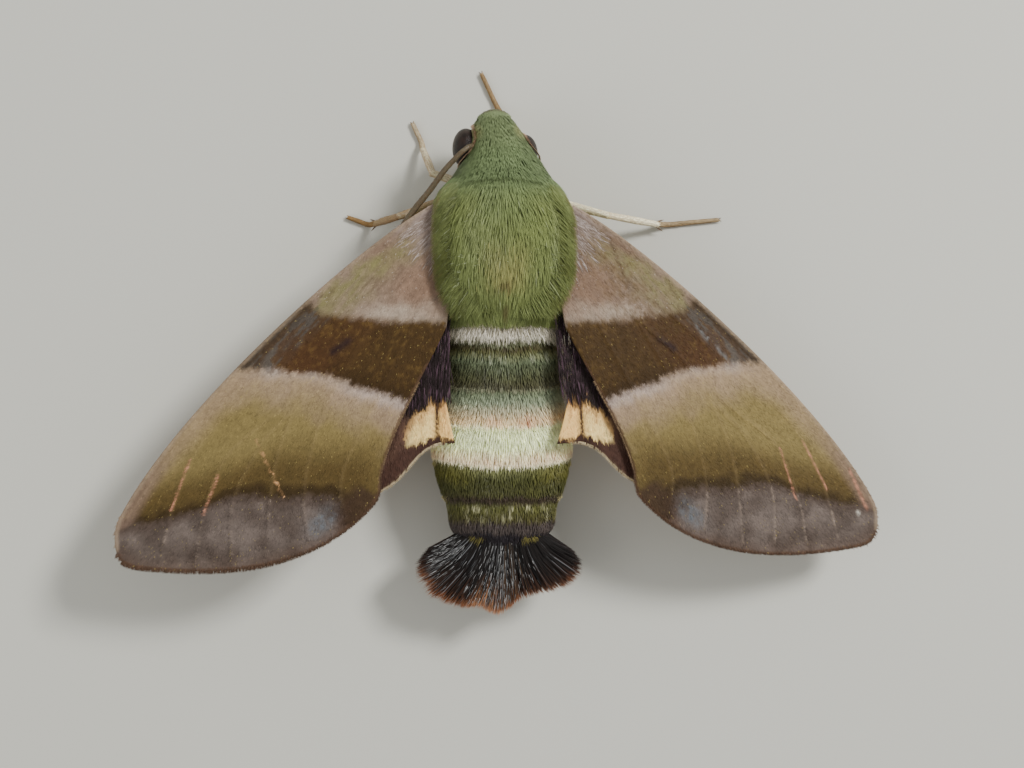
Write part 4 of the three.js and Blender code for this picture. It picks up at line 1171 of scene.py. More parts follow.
def wing_colour(spots, own_marks_and_shade, vein_share):
    """The markings of a forewing's upper side at spots in its own frame, with those of one wing alone and its
    painted shade.
    """
    u, v = spots[..., 0], spots[..., 1]
    streaks = mottle(on_flat(spots) * np.array([0.2, 1, 1]), size=0.16, seed=21) - 0.5
    grain = mottle(on_flat(spots), size=0.2, seed=22) - 0.5
    blots = mottle(on_flat(spots), size=0.9, seed=23) - 0.5
    cloud = mottle(on_flat(spots), size=2.8, seed=24)
    rag = 0.8 * streaks + 0.5 * grain + 0.5 * blots
    inner = u - marking_edge(BAND_INNER, v) + 0.45 * rag
    outer = u - marking_edge(BAND_OUTER, v) + 0.5 * rag
    wave = u - marking_edge(WAVE, v) + 0.55 * rag
    front = line_distance(spots, FRONT_RIM)
    margin = line_distance(spots, OUTER_MARGIN)
    vein = nearest_line(spots, VEINS)

    basal = wash(ground(u, (142, 124, 108)), (128, 104, 84), cloud)
    basal = wash(basal, (136, 104, 84), ramp(v + blots, 0.8, 2.4) * ramp(-v - blots, -4.6, -3.2) * 0.35)
    basal = wash(basal, (128, 122, 78), ramp(front + blots, 0.1, 0.9) * ramp(-front - blots, -3.2, -0.8)
                 * ramp(u + blots, 1.0, 4.2) * (0.75 + streaks))
    basal = wash(basal, (98, 80, 66), ramp(streaks + 0.5 * blots, 0.1, 0.4) * ramp(u, 0.8, 3.0) * 0.5)
    basal = wash(basal, (172, 156, 138), ramp(inner, -2.4, -0.6) * ramp(v, -0.6, 2.2) * (0.45 + blots))
    basal = wash(basal, (158, 144, 142), ramp(-u - blots, -3.4, -0.6) * (0.55 + 1.2 * streaks))
    band = wash(ground(u, (69, 51, 27)), (80, 53, 32), cloud * ramp(-v, -3.5, -1.0))
    band = wash(band, (104, 82, 42), ramp(grain, 0.1, 0.4) * 0.35)
    band = wash(band, (50, 35, 16), ramp(outer, -1.7, -0.3) * ramp(v, 0.5, 3.5) * 0.6)
    band = wash(band, (82, 74, 66), ramp(-front, -2.3, -0.8) * (0.35 + 1.8 * ramp(streaks, -0.1, 0.3)))
    band = wash(band, (50, 40, 26), ramp(-front, -1.0, -0.3) * 0.5)
    dash = line_distance(spots, BAND_DASH)
    band = wash(band, (40, 27, 30), np.exp(-(dash / 0.24) ** 2) * 0.8)
    lilac = wash(ground(u, (166, 143, 118)), (150, 127, 100), cloud)
    lilac = wash(lilac, (186, 168, 158), ramp(-outer, -1.1, 0.0) * (0.3 + 0.5 * ramp(v, 2.0, 5.0)))
    for dot in ((12.8, 0.9), (14.6, -1.0)):
        away = np.hypot(u - dot[0], v - dot[1]) / 0.5
        lilac = wash(lilac, (196, 186, 180), np.exp(-away ** 2) * 0.7)
    olive = wash(ground(u, (128, 112, 68)), (86, 70, 38), ramp(wave, -6.0, -1.8))
    olive = wash(olive, (54, 41, 22), ramp(wave + blots, -1.4, -0.4) * 0.9)
    mixed = ramp(outer + blots * 1.5, 0.4, 4.2)
    centre = lilac + (olive - lilac) * mixed[..., None]
    centre = wash(centre, (156, 133, 104), ramp(-front, -1.9, -0.5) * ramp(-u, -26.0, -20.0) * 0.75)
    centre = wash(centre, (128, 106, 92), ramp(-front, -1.3, -0.5) * ramp(u, 21.0, 25.0) * 0.7)
    centre = wash(centre, (170, 146, 104), np.exp(-(vein / 0.1) ** 2) * 0.1)
    hem = wash(ground(u, (78, 65, 56)), (97, 86, 79), ramp(wave, 0.0, 1.5) * (0.7 + blots))
    blue_spot = np.exp(-((u - 19.7) / 1.1) ** 2 - ((v - 8.1) / 0.6) ** 2)
    hem = wash(hem, (86, 94, 100), blue_spot * (0.6 + 1.2 * grain))
    hem = hem * (1 + 0.4 * blots * ramp(wave, 0.3, 1.2))[..., None]
    pale_veins = np.exp(-(vein / 0.07) ** 2) * (vein_share + grain)
    hem = wash(hem, (140, 124, 110), pale_veins * ramp(wave, 0.0, 0.5))
    hem = wash(hem, (66, 50, 40), ramp(v, 7.4, 9.0) * ramp(-wave, -1.2, -0.3) * 0.7)
    hem = wash(hem, (88, 70, 58), ramp(-margin, -1.1, 0.0) * 0.5)
    corner = ramp(v, 7.6, 8.6) * ramp(u + blots, 15.9, 16.6)
    centre = wash(centre, (62, 46, 34), corner * 0.85)
    colour = basal
    for upper, edge in ((band, inner), (centre, outer), (hem, wave)):
        colour = colour + (upper - colour) * ramp(edge, -0.4, 0.4)[..., None]
    for line, reach, mark, share in own_marks_and_shade:
        colour = wash(colour, mark, np.exp(-(line_distance(spots, line) / reach) ** 2) * (share + grain))
    colour = wash(colour, (158, 138, 114), ramp(-front, -0.32, -0.1) * 0.55)
    colour = wash(colour, (84, 62, 46), ramp(-margin, -0.22, -0.08) * 0.8)
    return colour * (1 + 0.3 * grain + 0.12 * blots)[..., None]


# The part of the wing's plane that a piece's flat map covers.
WING_MAP = {"size": (32, 24), "start": (0.05, 0.2)}
# The taper of the wings' scales.
NARROWED = ([0, 1], [1, 0.3])


def wing_blades(name, wing, drop, spot, heading, length, rise, width, tint, relief=0.0,
                stations=CURVED, taper=POINTED):
    """Blades that lie on a wing, drop below its middle.

    wing holds its hand, root, turn, sweep and slope. heading is a direction in its own frame.
    """
    hand, root, turn, sweep, slope = wing
    t = np.array(stations)
    run = spot[:, None] + heading[:, None] * (length[:, None] * t)[..., None]
    plan = wing_spot(hand, root, turn, run)
    z = wing_height(sweep, slope, plan) - drop + (rise[:, None] * (1 - (1 - t) ** 2))
    z = z + np.broadcast_to(relief, len(spot))[:, None]
    spine = np.concatenate([plan, z[..., None]], axis=-1)
    place = np.clip(spot / WING_MAP["size"] + WING_MAP["start"], 0, 1)
    return strands(name, spine, np.tile(UPRIGHT, (len(spot), 1)), width[:, None] * np.interp(t, *taper),
                   tint, place, thickness=0.12)


def point_on(line, at):
    """Points of a line at places counted in its own points."""
    k = at.astype(int)
    return line[k] + (line[k + 1] - line[k]) * (at - k)[:, None]


def inside(front, rear, count):
    """Random spots, even over the area between two edges."""
    at = rng.uniform(0, len(front) - 1.001, count * 5)
    k = at.astype(int)
    share = rng.uniform(0.01, 0.99, len(at))[:, None]
    low, high = point_on(front, at), point_on(rear, at)
    breadth = np.linalg.norm(high - low, axis=1)
    run = np.linalg.norm(front[k + 1] - front[k] + rear[k + 1] - rear[k], axis=1)
    chosen = rng.random(len(at)) < (breadth * run) / (breadth * run).max()
    return (low + (high - low) * share)[chosen][:count]


scale_paint = Paint("wing scales", Roughness=0.6, Specular_IOR_Level=0.12)
speck = scale_paint.noise(size=0.09, detail=1)
wing_grain = scale_paint.noise(size=0.4, detail=3)
wing_finish = scale_paint.finish(
    Base_Color=scale_paint.shade(scale_paint.read("tint", "Color"), 0.80 + speck * 0.3 + wing_grain * 0.1),
    Roughness=0.45 + speck * 0.3, Normal=scale_paint.bump(speck + wing_grain * 0.5, depth=0.02))

shares = np.linspace(0, 1, WING_COLUMNS)[None, :, None]
own = front_edge[:, None] + (rear_edge - front_edge)[:, None] * shares
chord = np.linalg.norm(rear_edge - front_edge, axis=1)
relief = wing_relief(own)
# The underside is brown, darker beyond the wave line.
beyond = ramp((own[..., 0] - marking_edge(WAVE, own[..., 1])).ravel(), -0.6, 0.6)
lower = tones(srgb(150, 108, 66), np.ones(len(beyond)))
lower = over(lower, srgb(186, 158, 96), ramp(-own[..., 0].ravel(), -9, -2))
lower = over(lower, srgb(104, 82, 66), beyond)
FOREWING_SCALES = 17500
for name, (hand, sweep, slope, hind_turn, reach_in) in WING_SIDES.items():
    spots = wing_spot(hand, WING_ROOT, sweep, own)
    height = wing_height(sweep, slope, spots) + relief
    mesh = wing_plate("forewing", hand, spots, height, FOREWING_THICKNESS / 2, chord)
    upper = wing_colour(own, OWN_MARKS_AND_SHADE[name], HEM_VEINS[name]).reshape(-1, 3)
    write(mesh, "tint", np.concatenate([upper, lower]))
    show(f"forewing_plate_{name}", mesh, wing_finish, "forewing_scales", f"forewing_{name}")

    spots = inside(front_edge, rear_edge, FOREWING_SCALES)
    tint = wing_colour(spots + np.array([0.14, 0]), OWN_MARKS_AND_SHADE[name], HEM_VEINS[name])
    tint = tint * np.clip(rng.normal(1.0, 0.10, len(spots)), 0.6, 1.5)[:, None]
    # A few scales are lightened as painted glints, golden beyond the band's inner edge and pale before it.
    bright = (rng.random(len(spots)) < 0.06) * rng.uniform(0.1, 0.6, len(spots))
    golden_glint_share = ramp(spots[:, 0] - marking_edge(BAND_INNER, spots[:, 1]), -0.5, 0.5)
    sparkle = between(srgb(200, 184, 172), srgb(180, 160, 94), golden_glint_share)
    tint = tint + (sparkle - tint) * bright[:, None]
    shorten = 1 - 0.5 * (bright > 0)
    count = len(spots)
    heading = unit(np.stack([1 + 0 * spots[:, 0], 0.05 * spots[:, 1] + rng.normal(0, 0.16, count)], axis=-1))
    scales = wing_blades(f"forewing_scales_{name}", (hand, WING_ROOT, sweep, sweep, slope),
                         drop=-FOREWING_THICKNESS / 2 + 0.01, spot=spots, heading=heading,
                         length=rng.uniform(0.18, 0.32, count) * shorten,
                         rise=rng.uniform(0.01, 0.05, count),
                         width=rng.uniform(0.07, 0.12, count) * np.sqrt(shorten), tint=tint,
                         relief=wing_relief(spots), stations=STRAIGHT, taper=NARROWED)
    show(scales.name, scales, wing_finish, "forewing_scales")

# ---- Hindwings ----
# Smaller plates tucked under the forewings: blackish and hairy at the base with a painted purple sheen, a
# cream patch on each side of a fold, a brown outer part and a cream fringe.
HINDWING_ROOT = (4.1, -1.6)
# How far it lies below the forewing's middle.
HINDWING_DROP = 0.62
HINDWING_THICKNESS = 0.10
HINDWING_FRONT = [[(0, 0), (4.0, 2.5), (9.8, 8.0), (12.0, 12.0)]]
HINDWING_REAR = [
    [(0.1, 2.4), (0.15, 5.0)],
    [(0.15, 5.0), (-0.1, 8.6), (-1.0, 12.2)],
    [(-1.0, 12.2), (1.6, 12.0), (1.6, 14.2), (3.6, 15.2)],
    [(3.6, 15.2), (7.0, 17.0), (11.8, 15.6), (12.1, 12.6)],
]
HIND_ROWS, HIND_COLUMNS = 116, 84
# The outer margin begins at this row of the rear edge.
HIND_MARGIN = 47
FOLD_LINE = [(0.3, 2.0), (0.15, 10.0), (0.15, 12.6)]
hind_front = edge_line(HINDWING_FRONT, HIND_ROWS)
hind_rear = edge_line(HINDWING_REAR, HIND_ROWS)


def hindwing_relief(spots):
    """Height of the fold and the soft ribs over the wing's even surface."""
    fold = line_distance(spots, FOLD_LINE)
    return -0.10 * np.exp(-(fold / 0.3) ** 2) + 0.06 * np.sin(spots[..., 0] * 1.9) ** 2


def hindwing_colour(spots):
    """The markings of a hindwing's upper side at spots in its own frame, with a painted purple sheen."""
    u, v = spots[..., 0], spots[..., 1]
    streaks = mottle(on_flat(spots) * np.array([1, 0.18, 1]), size=0.14, seed=31) - 0.5
    grain = mottle(on_flat(spots), size=0.18, seed=32) - 0.5
    blots = mottle(on_flat(spots), size=0.8, seed=33) - 0.5
    fold = line_distance(spots, FOLD_LINE)
    margin = line_distance(spots, hind_rear[HIND_MARGIN::3])
    # The purple streaks over the black base are painted sheen.
    dark = wash(ground(u, (38, 30, 27)), (80, 56, 64), ramp(streaks, 0.1, 0.4) * 0.5)
    outer = wash(ground(u, (90, 66, 54)), (74, 54, 50), ramp(streaks + blots, -0.1, 0.4))
    colour = dark + (outer - dark) * ramp(u + v * 0.35 + blots, 4.4, 6.4)[..., None]
    colour = wash(colour, (66, 44, 36), ramp(-margin, -1.5, -0.8) * ramp(v, 10.5, 11.5) * 0.8)
    begin = v + streaks * 1.0 + grain * 0.5 - 0.88 * np.clip(u - 0.25, 0, 3)
    cream = wash(ground(u, (252, 205, 126)), (252, 219, 142), ramp(u, 0.1, 0.7))
    cream = wash(cream, (196, 182, 132), ramp(u + streaks, 1.5, 2.3) * 0.8)
    cream = wash(cream, (206, 146, 88), ramp(-begin, -10.5, -9.6) * 0.6)
    inner_flap = u < 0.15
    limit = np.where(inner_flap, 0.08, 0.3)
    finish = np.where(inner_flap, 11.9, 11.7 + 0.35 * np.clip(u, 0, 3)) - v + streaks * 0.3 + grain * 0.3
    patch = ramp(begin, 8.9, 9.9) * ramp(-u - streaks * 0.8 - grain * 0.5, -2.3, -1.7) * ramp(
        margin - limit, -0.08, 0.12) * ramp(finish, -0.12, 0.2)
    colour = colour + (cream - colour) * patch[..., None]
    colour = wash(colour, (58, 38, 30), np.exp(-(fold / 0.15) ** 2))
    colour = wash(colour, (212, 192, 152), ramp(-margin, -0.12, -0.04))
    return colour * (1 + 0.25 * grain)[..., None]


shares = np.linspace(0, 1, HIND_COLUMNS)[None, :, None]
hind_own = hind_front[:, None] + (hind_rear - hind_front)[:, None] * shares
hind_chord = np.linalg.norm(hind_rear - hind_front, axis=1)
hind_upper = hindwing_colour(hind_own).reshape(-1, 3)
hind_lower = tones(srgb(160, 116, 70), np.ones(len(hind_upper)))
HINDWING_SCALES = 5200


def folded(spots, reach_in):
    """Spots of a hindwing whose inner flap reaches further in."""
    u = np.where(spots[..., 0] < 0, spots[..., 0] * reach_in, spots[..., 0])
    return np.stack([u, spots[..., 1]], axis=-1)


for name, (hand, sweep, slope, hind_turn, reach_in) in WING_SIDES.items():
    spots = wing_spot(hand, HINDWING_ROOT, -hind_turn, folded(hind_own, reach_in))
    height = wing_height(sweep, slope, spots) - HINDWING_DROP + hindwing_relief(hind_own)
    mesh = wing_plate("hindwing", hand, spots, height, HINDWING_THICKNESS / 2, hind_chord)
    write(mesh, "tint", np.concatenate([hind_upper, hind_lower]))
    show(f"hindwing_plate_{name}", mesh, wing_finish, "hindwing_scales", f"hindwing_{name}")

    spots = inside(hind_front, hind_rear, HINDWING_SCALES)
    tint = hindwing_colour(spots) * np.clip(rng.normal(1.0, 0.12, len(spots)), 0.6, 1.5)[:, None]
    heading = unit(np.stack([rng.normal(0.1, 0.15, len(spots)), np.ones(len(spots))], axis=-1))
    scales = wing_blades(f"hindwing_scales_{name}", (hand, HINDWING_ROOT, -hind_turn, sweep, slope),
                         drop=HINDWING_DROP - HINDWING_THICKNESS / 2, spot=folded(spots, reach_in),
                         heading=heading, length=rng.uniform(0.2, 0.34, len(spots)),
                         rise=rng.uniform(0.01, 0.05, len(spots)),
                         width=rng.uniform(0.08, 0.13, len(spots)), tint=tint,
                         relief=hindwing_relief(spots), stations=STRAIGHT, taper=NARROWED)
    show(scales.name, scales, wing_finish, "hindwing_scales")

# ---- Fringes and hairs of the wings ----
# Narrow scales set along the outer and rear edges, brown on the forewing and cream on the hindwing, with
# longer grey hairs over the hinge and black hairs over the root of the hindwing.


def along_edge(edge, count):
    """Random spots on an edge, with the direction that points out of the wing there."""
    at = rng.uniform(0, len(edge) - 1.001, count)
    k = at.astype(int)
    run = unit(edge[k + 1] - edge[k])
    return point_on(edge, at), np.stack([-run[:, 1], run[:, 0]], axis=-1)


# The forewing's fringe begins at this row of its rear edge.
FRINGE_START = 52
# How much longer the forewing's fringe grows towards the tip.
TIP_FRINGE = {"left": 0.13, "right": 0.0}
for name, (hand, sweep, slope, hind_turn, reach_in) in WING_SIDES.items():
    fore_frame = (hand, WING_ROOT, sweep, sweep, slope)
    hind_frame = (hand, HINDWING_ROOT, -hind_turn, sweep, slope)
    count = 2600
    spot, out = along_edge(rear_edge[FRINGE_START:], count)
    heading = unit(out + np.stack([rng.normal(0.25, 0.1, count), rng.normal(0, 0.1, count)], axis=-1))
    brown = tones(srgb(84, 64, 49), rng.uniform(0.6, 1.2, count))
    brown = over(brown, srgb(150, 126, 92), ramp(-spot[:, 0], -15.5, -14.0) * rng.uniform(0.2, 0.7, count))
    longer = TIP_FRINGE[name] * ramp(spot[:, 0], 19.0, 26.0)
    fringe = wing_blades(f"forewing_fringe_{name}", fore_frame, drop=0.0, spot=spot - heading * 0.14,
                         heading=heading, length=rng.uniform(0.2, 0.28, count) + longer,
                         rise=rng.normal(0.0, 0.02, count), width=rng.uniform(0.05, 0.08, count),
                         tint=brown, stations=STRAIGHT, taper=NARROWED)
    show(fringe.name, fringe, wing_finish, "forewing_scales")

    count = 1200
    spot, out = along_edge(hind_rear[HIND_MARGIN:], count)
    heading = unit(out + rng.normal(0, 0.15, (count, 2)))
    pale = tones(srgb(204, 184, 144), rng.uniform(0.45, 1.05, count))
    fringe = wing_blades(f"hindwing_fringe_{name}", hind_frame, drop=HINDWING_DROP,
                         spot=folded(spot - heading * 0.1, reach_in), heading=heading,
                         length=rng.uniform(0.16, 0.26, count), rise=rng.normal(0.0, 0.02, count),
                         width=rng.uniform(0.045, 0.07, count), tint=pale, stations=STRAIGHT,
                         taper=NARROWED)
    show(fringe.name, fringe, wing_finish, "hindwing_scales")

    count = 1500
    u = rng.uniform(-0.4, 3.4, count) * rng.uniform(0.3, 1, count)
    v = rng.uniform(0, 1, count) * (2.9 + u * 0.7) - 0.3 - u * 0.3
    heading = unit(np.stack([1 + 0 * u, 0.18 * (v - 1) + rng.normal(0, 0.15, count)], axis=-1))
    grey = between(srgb(132, 114, 100), srgb(184, 170, 162), rng.random(count) ** 2)
    hairs = wing_blades(f"wing_root_hair_{name}", fore_frame, drop=-0.07, spot=np.stack([u, v], axis=-1),
                        heading=heading, length=rng.uniform(0.45, 0.9, count),
                        rise=rng.uniform(0.01, 0.05, count), width=rng.uniform(0.035, 0.055, count),
                        tint=grey)
    show(hairs.name, hairs, wing_finish, "forewing_scales")

    count = 2200
    v = rng.uniform(3.5, 8.8, count)
    u = rng.uniform(-0.7, 4.4, count)
    v = v + 0.5 * np.clip(u - 0.4, 0, 3)
    heading = unit(np.stack([rng.normal(0.08, 0.1, count), 1 + 0 * u], axis=-1))
    # A few of the black hairs are lightened to purple as painted sheen.
    black = between(srgb(36, 28, 26), srgb(92, 68, 80), rng.random(count) ** 5)
    hairs = wing_blades(f"hindwing_hair_{name}", hind_frame, drop=HINDWING_DROP - 0.04,
                        spot=folded(np.stack([u, v], axis=-1), reach_in), heading=heading,
                        length=rng.uniform(0.7, 1.4, count), rise=rng.uniform(0.03, 0.12, count),
                        width=rng.uniform(0.045, 0.07, count), tint=black)
    show(hairs.name, hairs, wing_finish, "hindwing_scales")

# ---- Eyes ----
# Two large compound eyes let into the sides of the head: domes of thousands of glossy dark facets, with
# a rim of short cream and pale brown scales where the head's coat meets them.


class Shape(Graph):
    """A geometry node tree with named inputs, which makes a plain mesh."""

    def __init__(self, name, **inputs):
        super().__init__(bpy.data.node_groups.new(name, "GeometryNodeTree"))
        for label, kind in inputs.items():
            self.tree.interface.new_socket(label, in_out="INPUT", socket_type="NodeSocket" + kind)
        self.tree.interface.new_socket("Geometry", in_out="OUTPUT", socket_type="NodeSocketGeometry")
        self.start = self.tree.nodes.new("NodeGroupInput")

    def given(self, label):
        """One of the tree's inputs."""
        return Wire(self, self.start.outputs[label])

    def close(self, geometry):
        """Ends the tree with real geometry in its own material."""
        real = self.node("GeometryNodeRealizeInstances", sockets={"Geometry": geometry})
        dressed = self.node("GeometryNodeSetMaterial", sockets={"Geometry": real,
                                                               "Material": self.given("Finish")})
        end = self.tree.nodes.new("NodeGroupOutput")
        self.tree.links.new(dressed.socket, end.inputs["Geometry"])

    def mesh(self, name, carrier, **values):
        """The plain mesh that the tree makes on a carrier with these input values."""
        maker = bpy.data.objects.new(name, carrier)
        bpy.context.scene.collection.objects.link(maker)
        modifier = maker.modifiers.new("shape", "NODES")
        modifier.node_group = self.tree
        for label, value in values.items():
            modifier[self.tree.interface.items_tree[label].identifier] = value
        made = bpy.data.meshes.new_from_object(
            maker.evaluated_get(bpy.context.evaluated_depsgraph_get()))
        maker.modifiers.remove(modifier)
        bpy.data.objects.remove(maker)
        return made


facets = Shape("eye facets", Facet_Rings="Int", Radii="Vector", Centre="Vector", Facet_Rise="Float",
               Facet_Share="Float", Finish="Material")
ball = facets.node("GeometryNodeMeshIcoSphere", sockets={"Radius": 1.0,
                                                         "Subdivisions": facets.given("Facet_Rings")})
cells = facets.node("GeometryNodeDualMesh", sockets={"Mesh": ball})
raised_node = facets.node("GeometryNodeExtrudeMesh", {"mode": "FACES"}, {
    "Mesh": cells, "Offset Scale": facets.given("Facet_Rise"), "Individual": True})
top_faces = Wire(facets, raised_node.socket.node.outputs["Top"])
domed = facets.node("GeometryNodeScaleElements", {"domain": "FACE"}, {
    "Geometry": raised_node, "Selection": top_faces, "Scale": facets.given("Facet_Share")})
fitted = facets.node("GeometryNodeTransform", sockets={
    "Geometry": domed, "Scale": facets.given("Radii"), "Translation": facets.given("Centre")})
facets.close(facets.node("GeometryNodeSetShadeSmooth", sockets={"Geometry": fitted}))

eye_paint = Paint("eye", Roughness=0.35, Specular_IOR_Level=0.2, Coat_Weight=0.08, Coat_Roughness=0.12)
eye_cloud = eye_paint.noise(size=0.9, detail=2)
eye_finish = eye_paint.finish(Base_Color=eye_paint.mix(eye_paint.step(eye_cloud, 0.42, 0.62),
                                                       srgb(30, 21, 18), srgb(46, 33, 27)))
eye_carrier = bpy.data.meshes.new("eye carrier")
# The domes lie this far inside the eyes' outline.
DOME_INSET = 0.02
radii = tuple((EYE[k] - DOME_INSET) * MM for k in ("depth", "length", "height"))
for name, hand in (("left", -1), ("right", 1)):
    centre = in_scene(bent((hand * EYE[name][0], EYE[name][1], EYE["z"])))
    mesh = facets.mesh("eye", eye_carrier, Facet_Rings=5, Radii=radii, Centre=centre, Facet_Rise=0.006,
                       Facet_Share=0.8, Finish=eye_finish)
    show(f"eye_dome_{name}", mesh, eye_finish, "eye", f"eye_{name}")

# The rim stands where the eye meets the skin, all round.
rim_turn = np.linspace(0, 2 * math.pi, 73)
rim_ring = np.linspace(0.2, 1.1, 60)
rim_run = EYE["length"] * rim_ring[None] * np.cos(rim_turn[:, None])
rim_z = EYE["z"] + EYE["height"] * rim_ring[None] * np.sin(rim_turn[:, None])


def skin_reach(y, z):
    """How far out the skin lies at a height."""
    half, top, low = (np.interp(y, trunk_at, trunk_rows[:, i]) for i in range(3))
    level = (z - (top + low) / 2) / ((top - low) / 2)
    return half * np.sqrt(np.clip(1 - level ** 2, 0, 1))


count = 1500
hand = np.where(rng.random(count) < 0.5, -1, 1)
turn = rng.uniform(0, 2 * math.pi, count)
ring = np.zeros(count)
for name, which in (("left", hand < 0), ("right", hand > 0)):
    eye_reach = EYE[name][0] + EYE["depth"] * np.sqrt(np.clip(1 - rim_ring ** 2, 0, 1))[None]
    clear = eye_reach > skin_reach(EYE[name][1] + rim_run, rim_z) - 0.12
    meeting = [rim_ring[np.nonzero(row)[0][-1]] if row.any() else rim_ring[0] for row in clear]
    ring[which] = np.interp(turn[which], rim_turn, meeting)
ring *= rng.uniform(1.0, 1.1, count)
root_y = np.where(hand < 0, EYE["left"][1], EYE["right"][1]) + EYE["length"] * ring * np.cos(turn)
root_z = EYE["z"] + EYE["height"] * ring * np.sin(turn)
root = bent(np.stack([hand * (skin_reach(root_y, root_z) - 0.1), root_y, root_z], axis=-1))
outward = np.stack([hand * 0.8, 0.3 * np.cos(turn) - 0.5, 0.5 * np.sin(turn)], axis=-1)
t = np.array(CURVED)
rim_length = rng.uniform(0.14, 0.26, count)
spine = root[:, None] + unit(outward)[:, None] * (rim_length[:, None] * t)[..., None]
tint = between(UNDER_CREAM, srgb(176, 148, 120), ramp(np.sin(turn), -0.4, 0.3))
tint = tint * rng.uniform(0.75, 1.1, count)[:, None]
up = np.stack([hand, 0 * turn, 0.4 + 0 * turn], axis=-1)
place = np.stack([0.5 + hand * 0.3 + 0.1 * np.cos(turn), 0.5 + 0.1 * np.sin(turn)], axis=-1)
rim = strands("eye_rims", spine, up, rng.uniform(0.04, 0.065, count)[:, None] * np.interp(t, *POINTED),
              tint, place)
show("eye_rims", rim, scale_finish, "green_coat")

# ---- Feelers ----
# Two club-shaped feelers of many short rings, with a fine hooked tip, swept back under the wings' front
# edges. Their upper side is covered with flat grey-brown scales.
rods = Shape("ringed rod", Path="Geometry", Rings="Float", Ring_Depth="Float", Sides="Int",
             Spacing="Float", Finish="Material")
fine_path = rods.node("GeometryNodeResampleCurve", {"mode": "LENGTH"}, {
    "Curve": rods.given("Path"), "Length": rods.given("Spacing")})
along_rod = rods.node("GeometryNodeSplineParameter")
sawtooth = (along_rod * rods.given("Rings")).sum("FRACT", along_rod * rods.given("Rings"))
waist_share = 1.0 - rods.given("Ring_Depth") * (1.0 - sawtooth)
profile = rods.node("GeometryNodeCurvePrimitiveCircle", sockets={
    "Resolution": rods.given("Sides"), "Radius": 1.0})
skin_rod = rods.node("GeometryNodeCurveToMesh", sockets={
    "Curve": fine_path, "Profile Curve": profile, "Scale": rods.node("GeometryNodeInputRadius") * waist_share,
    "Fill Caps": True})
rods.close(rods.node("GeometryNodeSetShadeSmooth", sockets={"Geometry": skin_rod}))


# Space between the points of a rod's path.
ROD_STEP = 0.05
# How far a rod's rounded ends stand out, as a share of its radius.
ROD_END = 0.75


def smooth_path(points, radii):
    """Dense points and radii on a smooth line through a few."""
    points = np.array(points, float)
    run = run_along(points)
    radii = np.interp(run / run[-1], np.linspace(0, 1, len(radii)), radii)
    rows = smooth_table(np.column_stack([run, points, radii]), ROD_STEP)[1]
    return rows[:, :3], rows[:, 3]


def make_rod(name, path, radii, rings, depth, finish, sides=12):
    """A rod with rounded ends along a path, ringed by the rod tree."""
    along = unit(np.gradient(path, axis=0))
    path = np.vstack([path[:1] - along[:1] * radii[0] * ROD_END, path,
                      path[-1:] + along[-1:] * radii[-1] * ROD_END])
    radii = np.concatenate([radii[:1] * 0.25, radii, radii[-1:] * 0.25])
    curve = bpy.data.curves.new(name, "CURVE")
    curve.dimensions = "3D"
    line = curve.splines.new("POLY")
    line.points.add(len(path) - 1)
    where = np.column_stack([path * MM + ORIGIN, np.ones(len(path))])
    line.points.foreach_set("co", where.ravel())
    line.points.foreach_set("radius", radii * MM)
    return rods.mesh(name, curve, Rings=float(rings), Ring_Depth=depth, Sides=sides,
                     Spacing=ROD_STEP * MM, Finish=finish)


ALL_ROUND = (0, 2 * math.pi)


def rod_scales(path, radii, count, length, lift, turns, chooser, stations=STRAIGHT):
    """Spines, upward sides, colours and map places of scales that clothe a rod and point to its far end."""
    at = rng.uniform(0, len(path) - 2.001, count)
    k = at.astype(int)
    along = unit(np.gradient(path, axis=0))[k]
    side = unit(np.cross(along, UPRIGHT))
    rise = np.cross(side, along)
    turn = rng.uniform(*turns, count)
    out = side * np.cos(turn)[:, None] + rise * np.sin(turn)[:, None]
    root = point_on(path, at) + out * (radii[k] * 0.9)[:, None]
    length = rng.uniform(*length, count)
    heading = unit(along + out * rng.uniform(*lift, count)[:, None])
    t = np.array(stations)
    bend = -out[:, None] * (0.3 * length[:, None] * t ** 2 * lift[1])[..., None]
    spine = root[:, None] + heading[:, None] * (length[:, None] * t)[..., None] + bend
    place = np.stack([at / len(path), (turn / (2 * math.pi)) % 1.0], axis=-1)
    return spine, out, chooser(at / len(path), turn), place


def horn(name, low, high):
    """A finish for the bare horn under the scales."""
    paint = Paint(name, Roughness=0.4, Specular_IOR_Level=0.4)
    grain = paint.noise(size=0.15, detail=3)
    return paint.finish(Base_Color=paint.mix(grain, srgb(*low), srgb(*high)),
                        Roughness=0.3 + grain * 0.3, Normal=paint.bump(grain, depth=0.01))


feeler_horn = horn("feeler horn", low=(84, 64, 46), high=(112, 90, 66))
FEELER_RINGS, RING_WAIST = 64, 0.16
# The fine hook at the tip, these last points of the path, is bare.
HOOK_POINTS = 12
FEELERS = {
    "left": [(-1.8, 5.42, 6.4), (-2.15, 5.25, 6.85), (-3.45, 4.1, 6.75), (-4.7, 2.5, 6.2), (-5.9, 1.0, 5.8),
             (-7.5, -1.7, 5.5), (-8.7, -3.6, 5.2), (-9.1, -4.5, 4.9)],
    "right": [(1.85, 4.7, 6.2), (2.46, 4.3, 5.4), (2.9, 3.85, 4.6), (3.45, 3.2, 4.0), (4.15, 2.2, 3.7),
              (4.75, 0.8, 3.65), (5.4, -1.4, 3.8), (6.0, -2.6, 3.9)],
}
FEELER_RADII = [0.15, 0.17, 0.19, 0.2, 0.21, 0.21, 0.2, 0.12, 0.05]


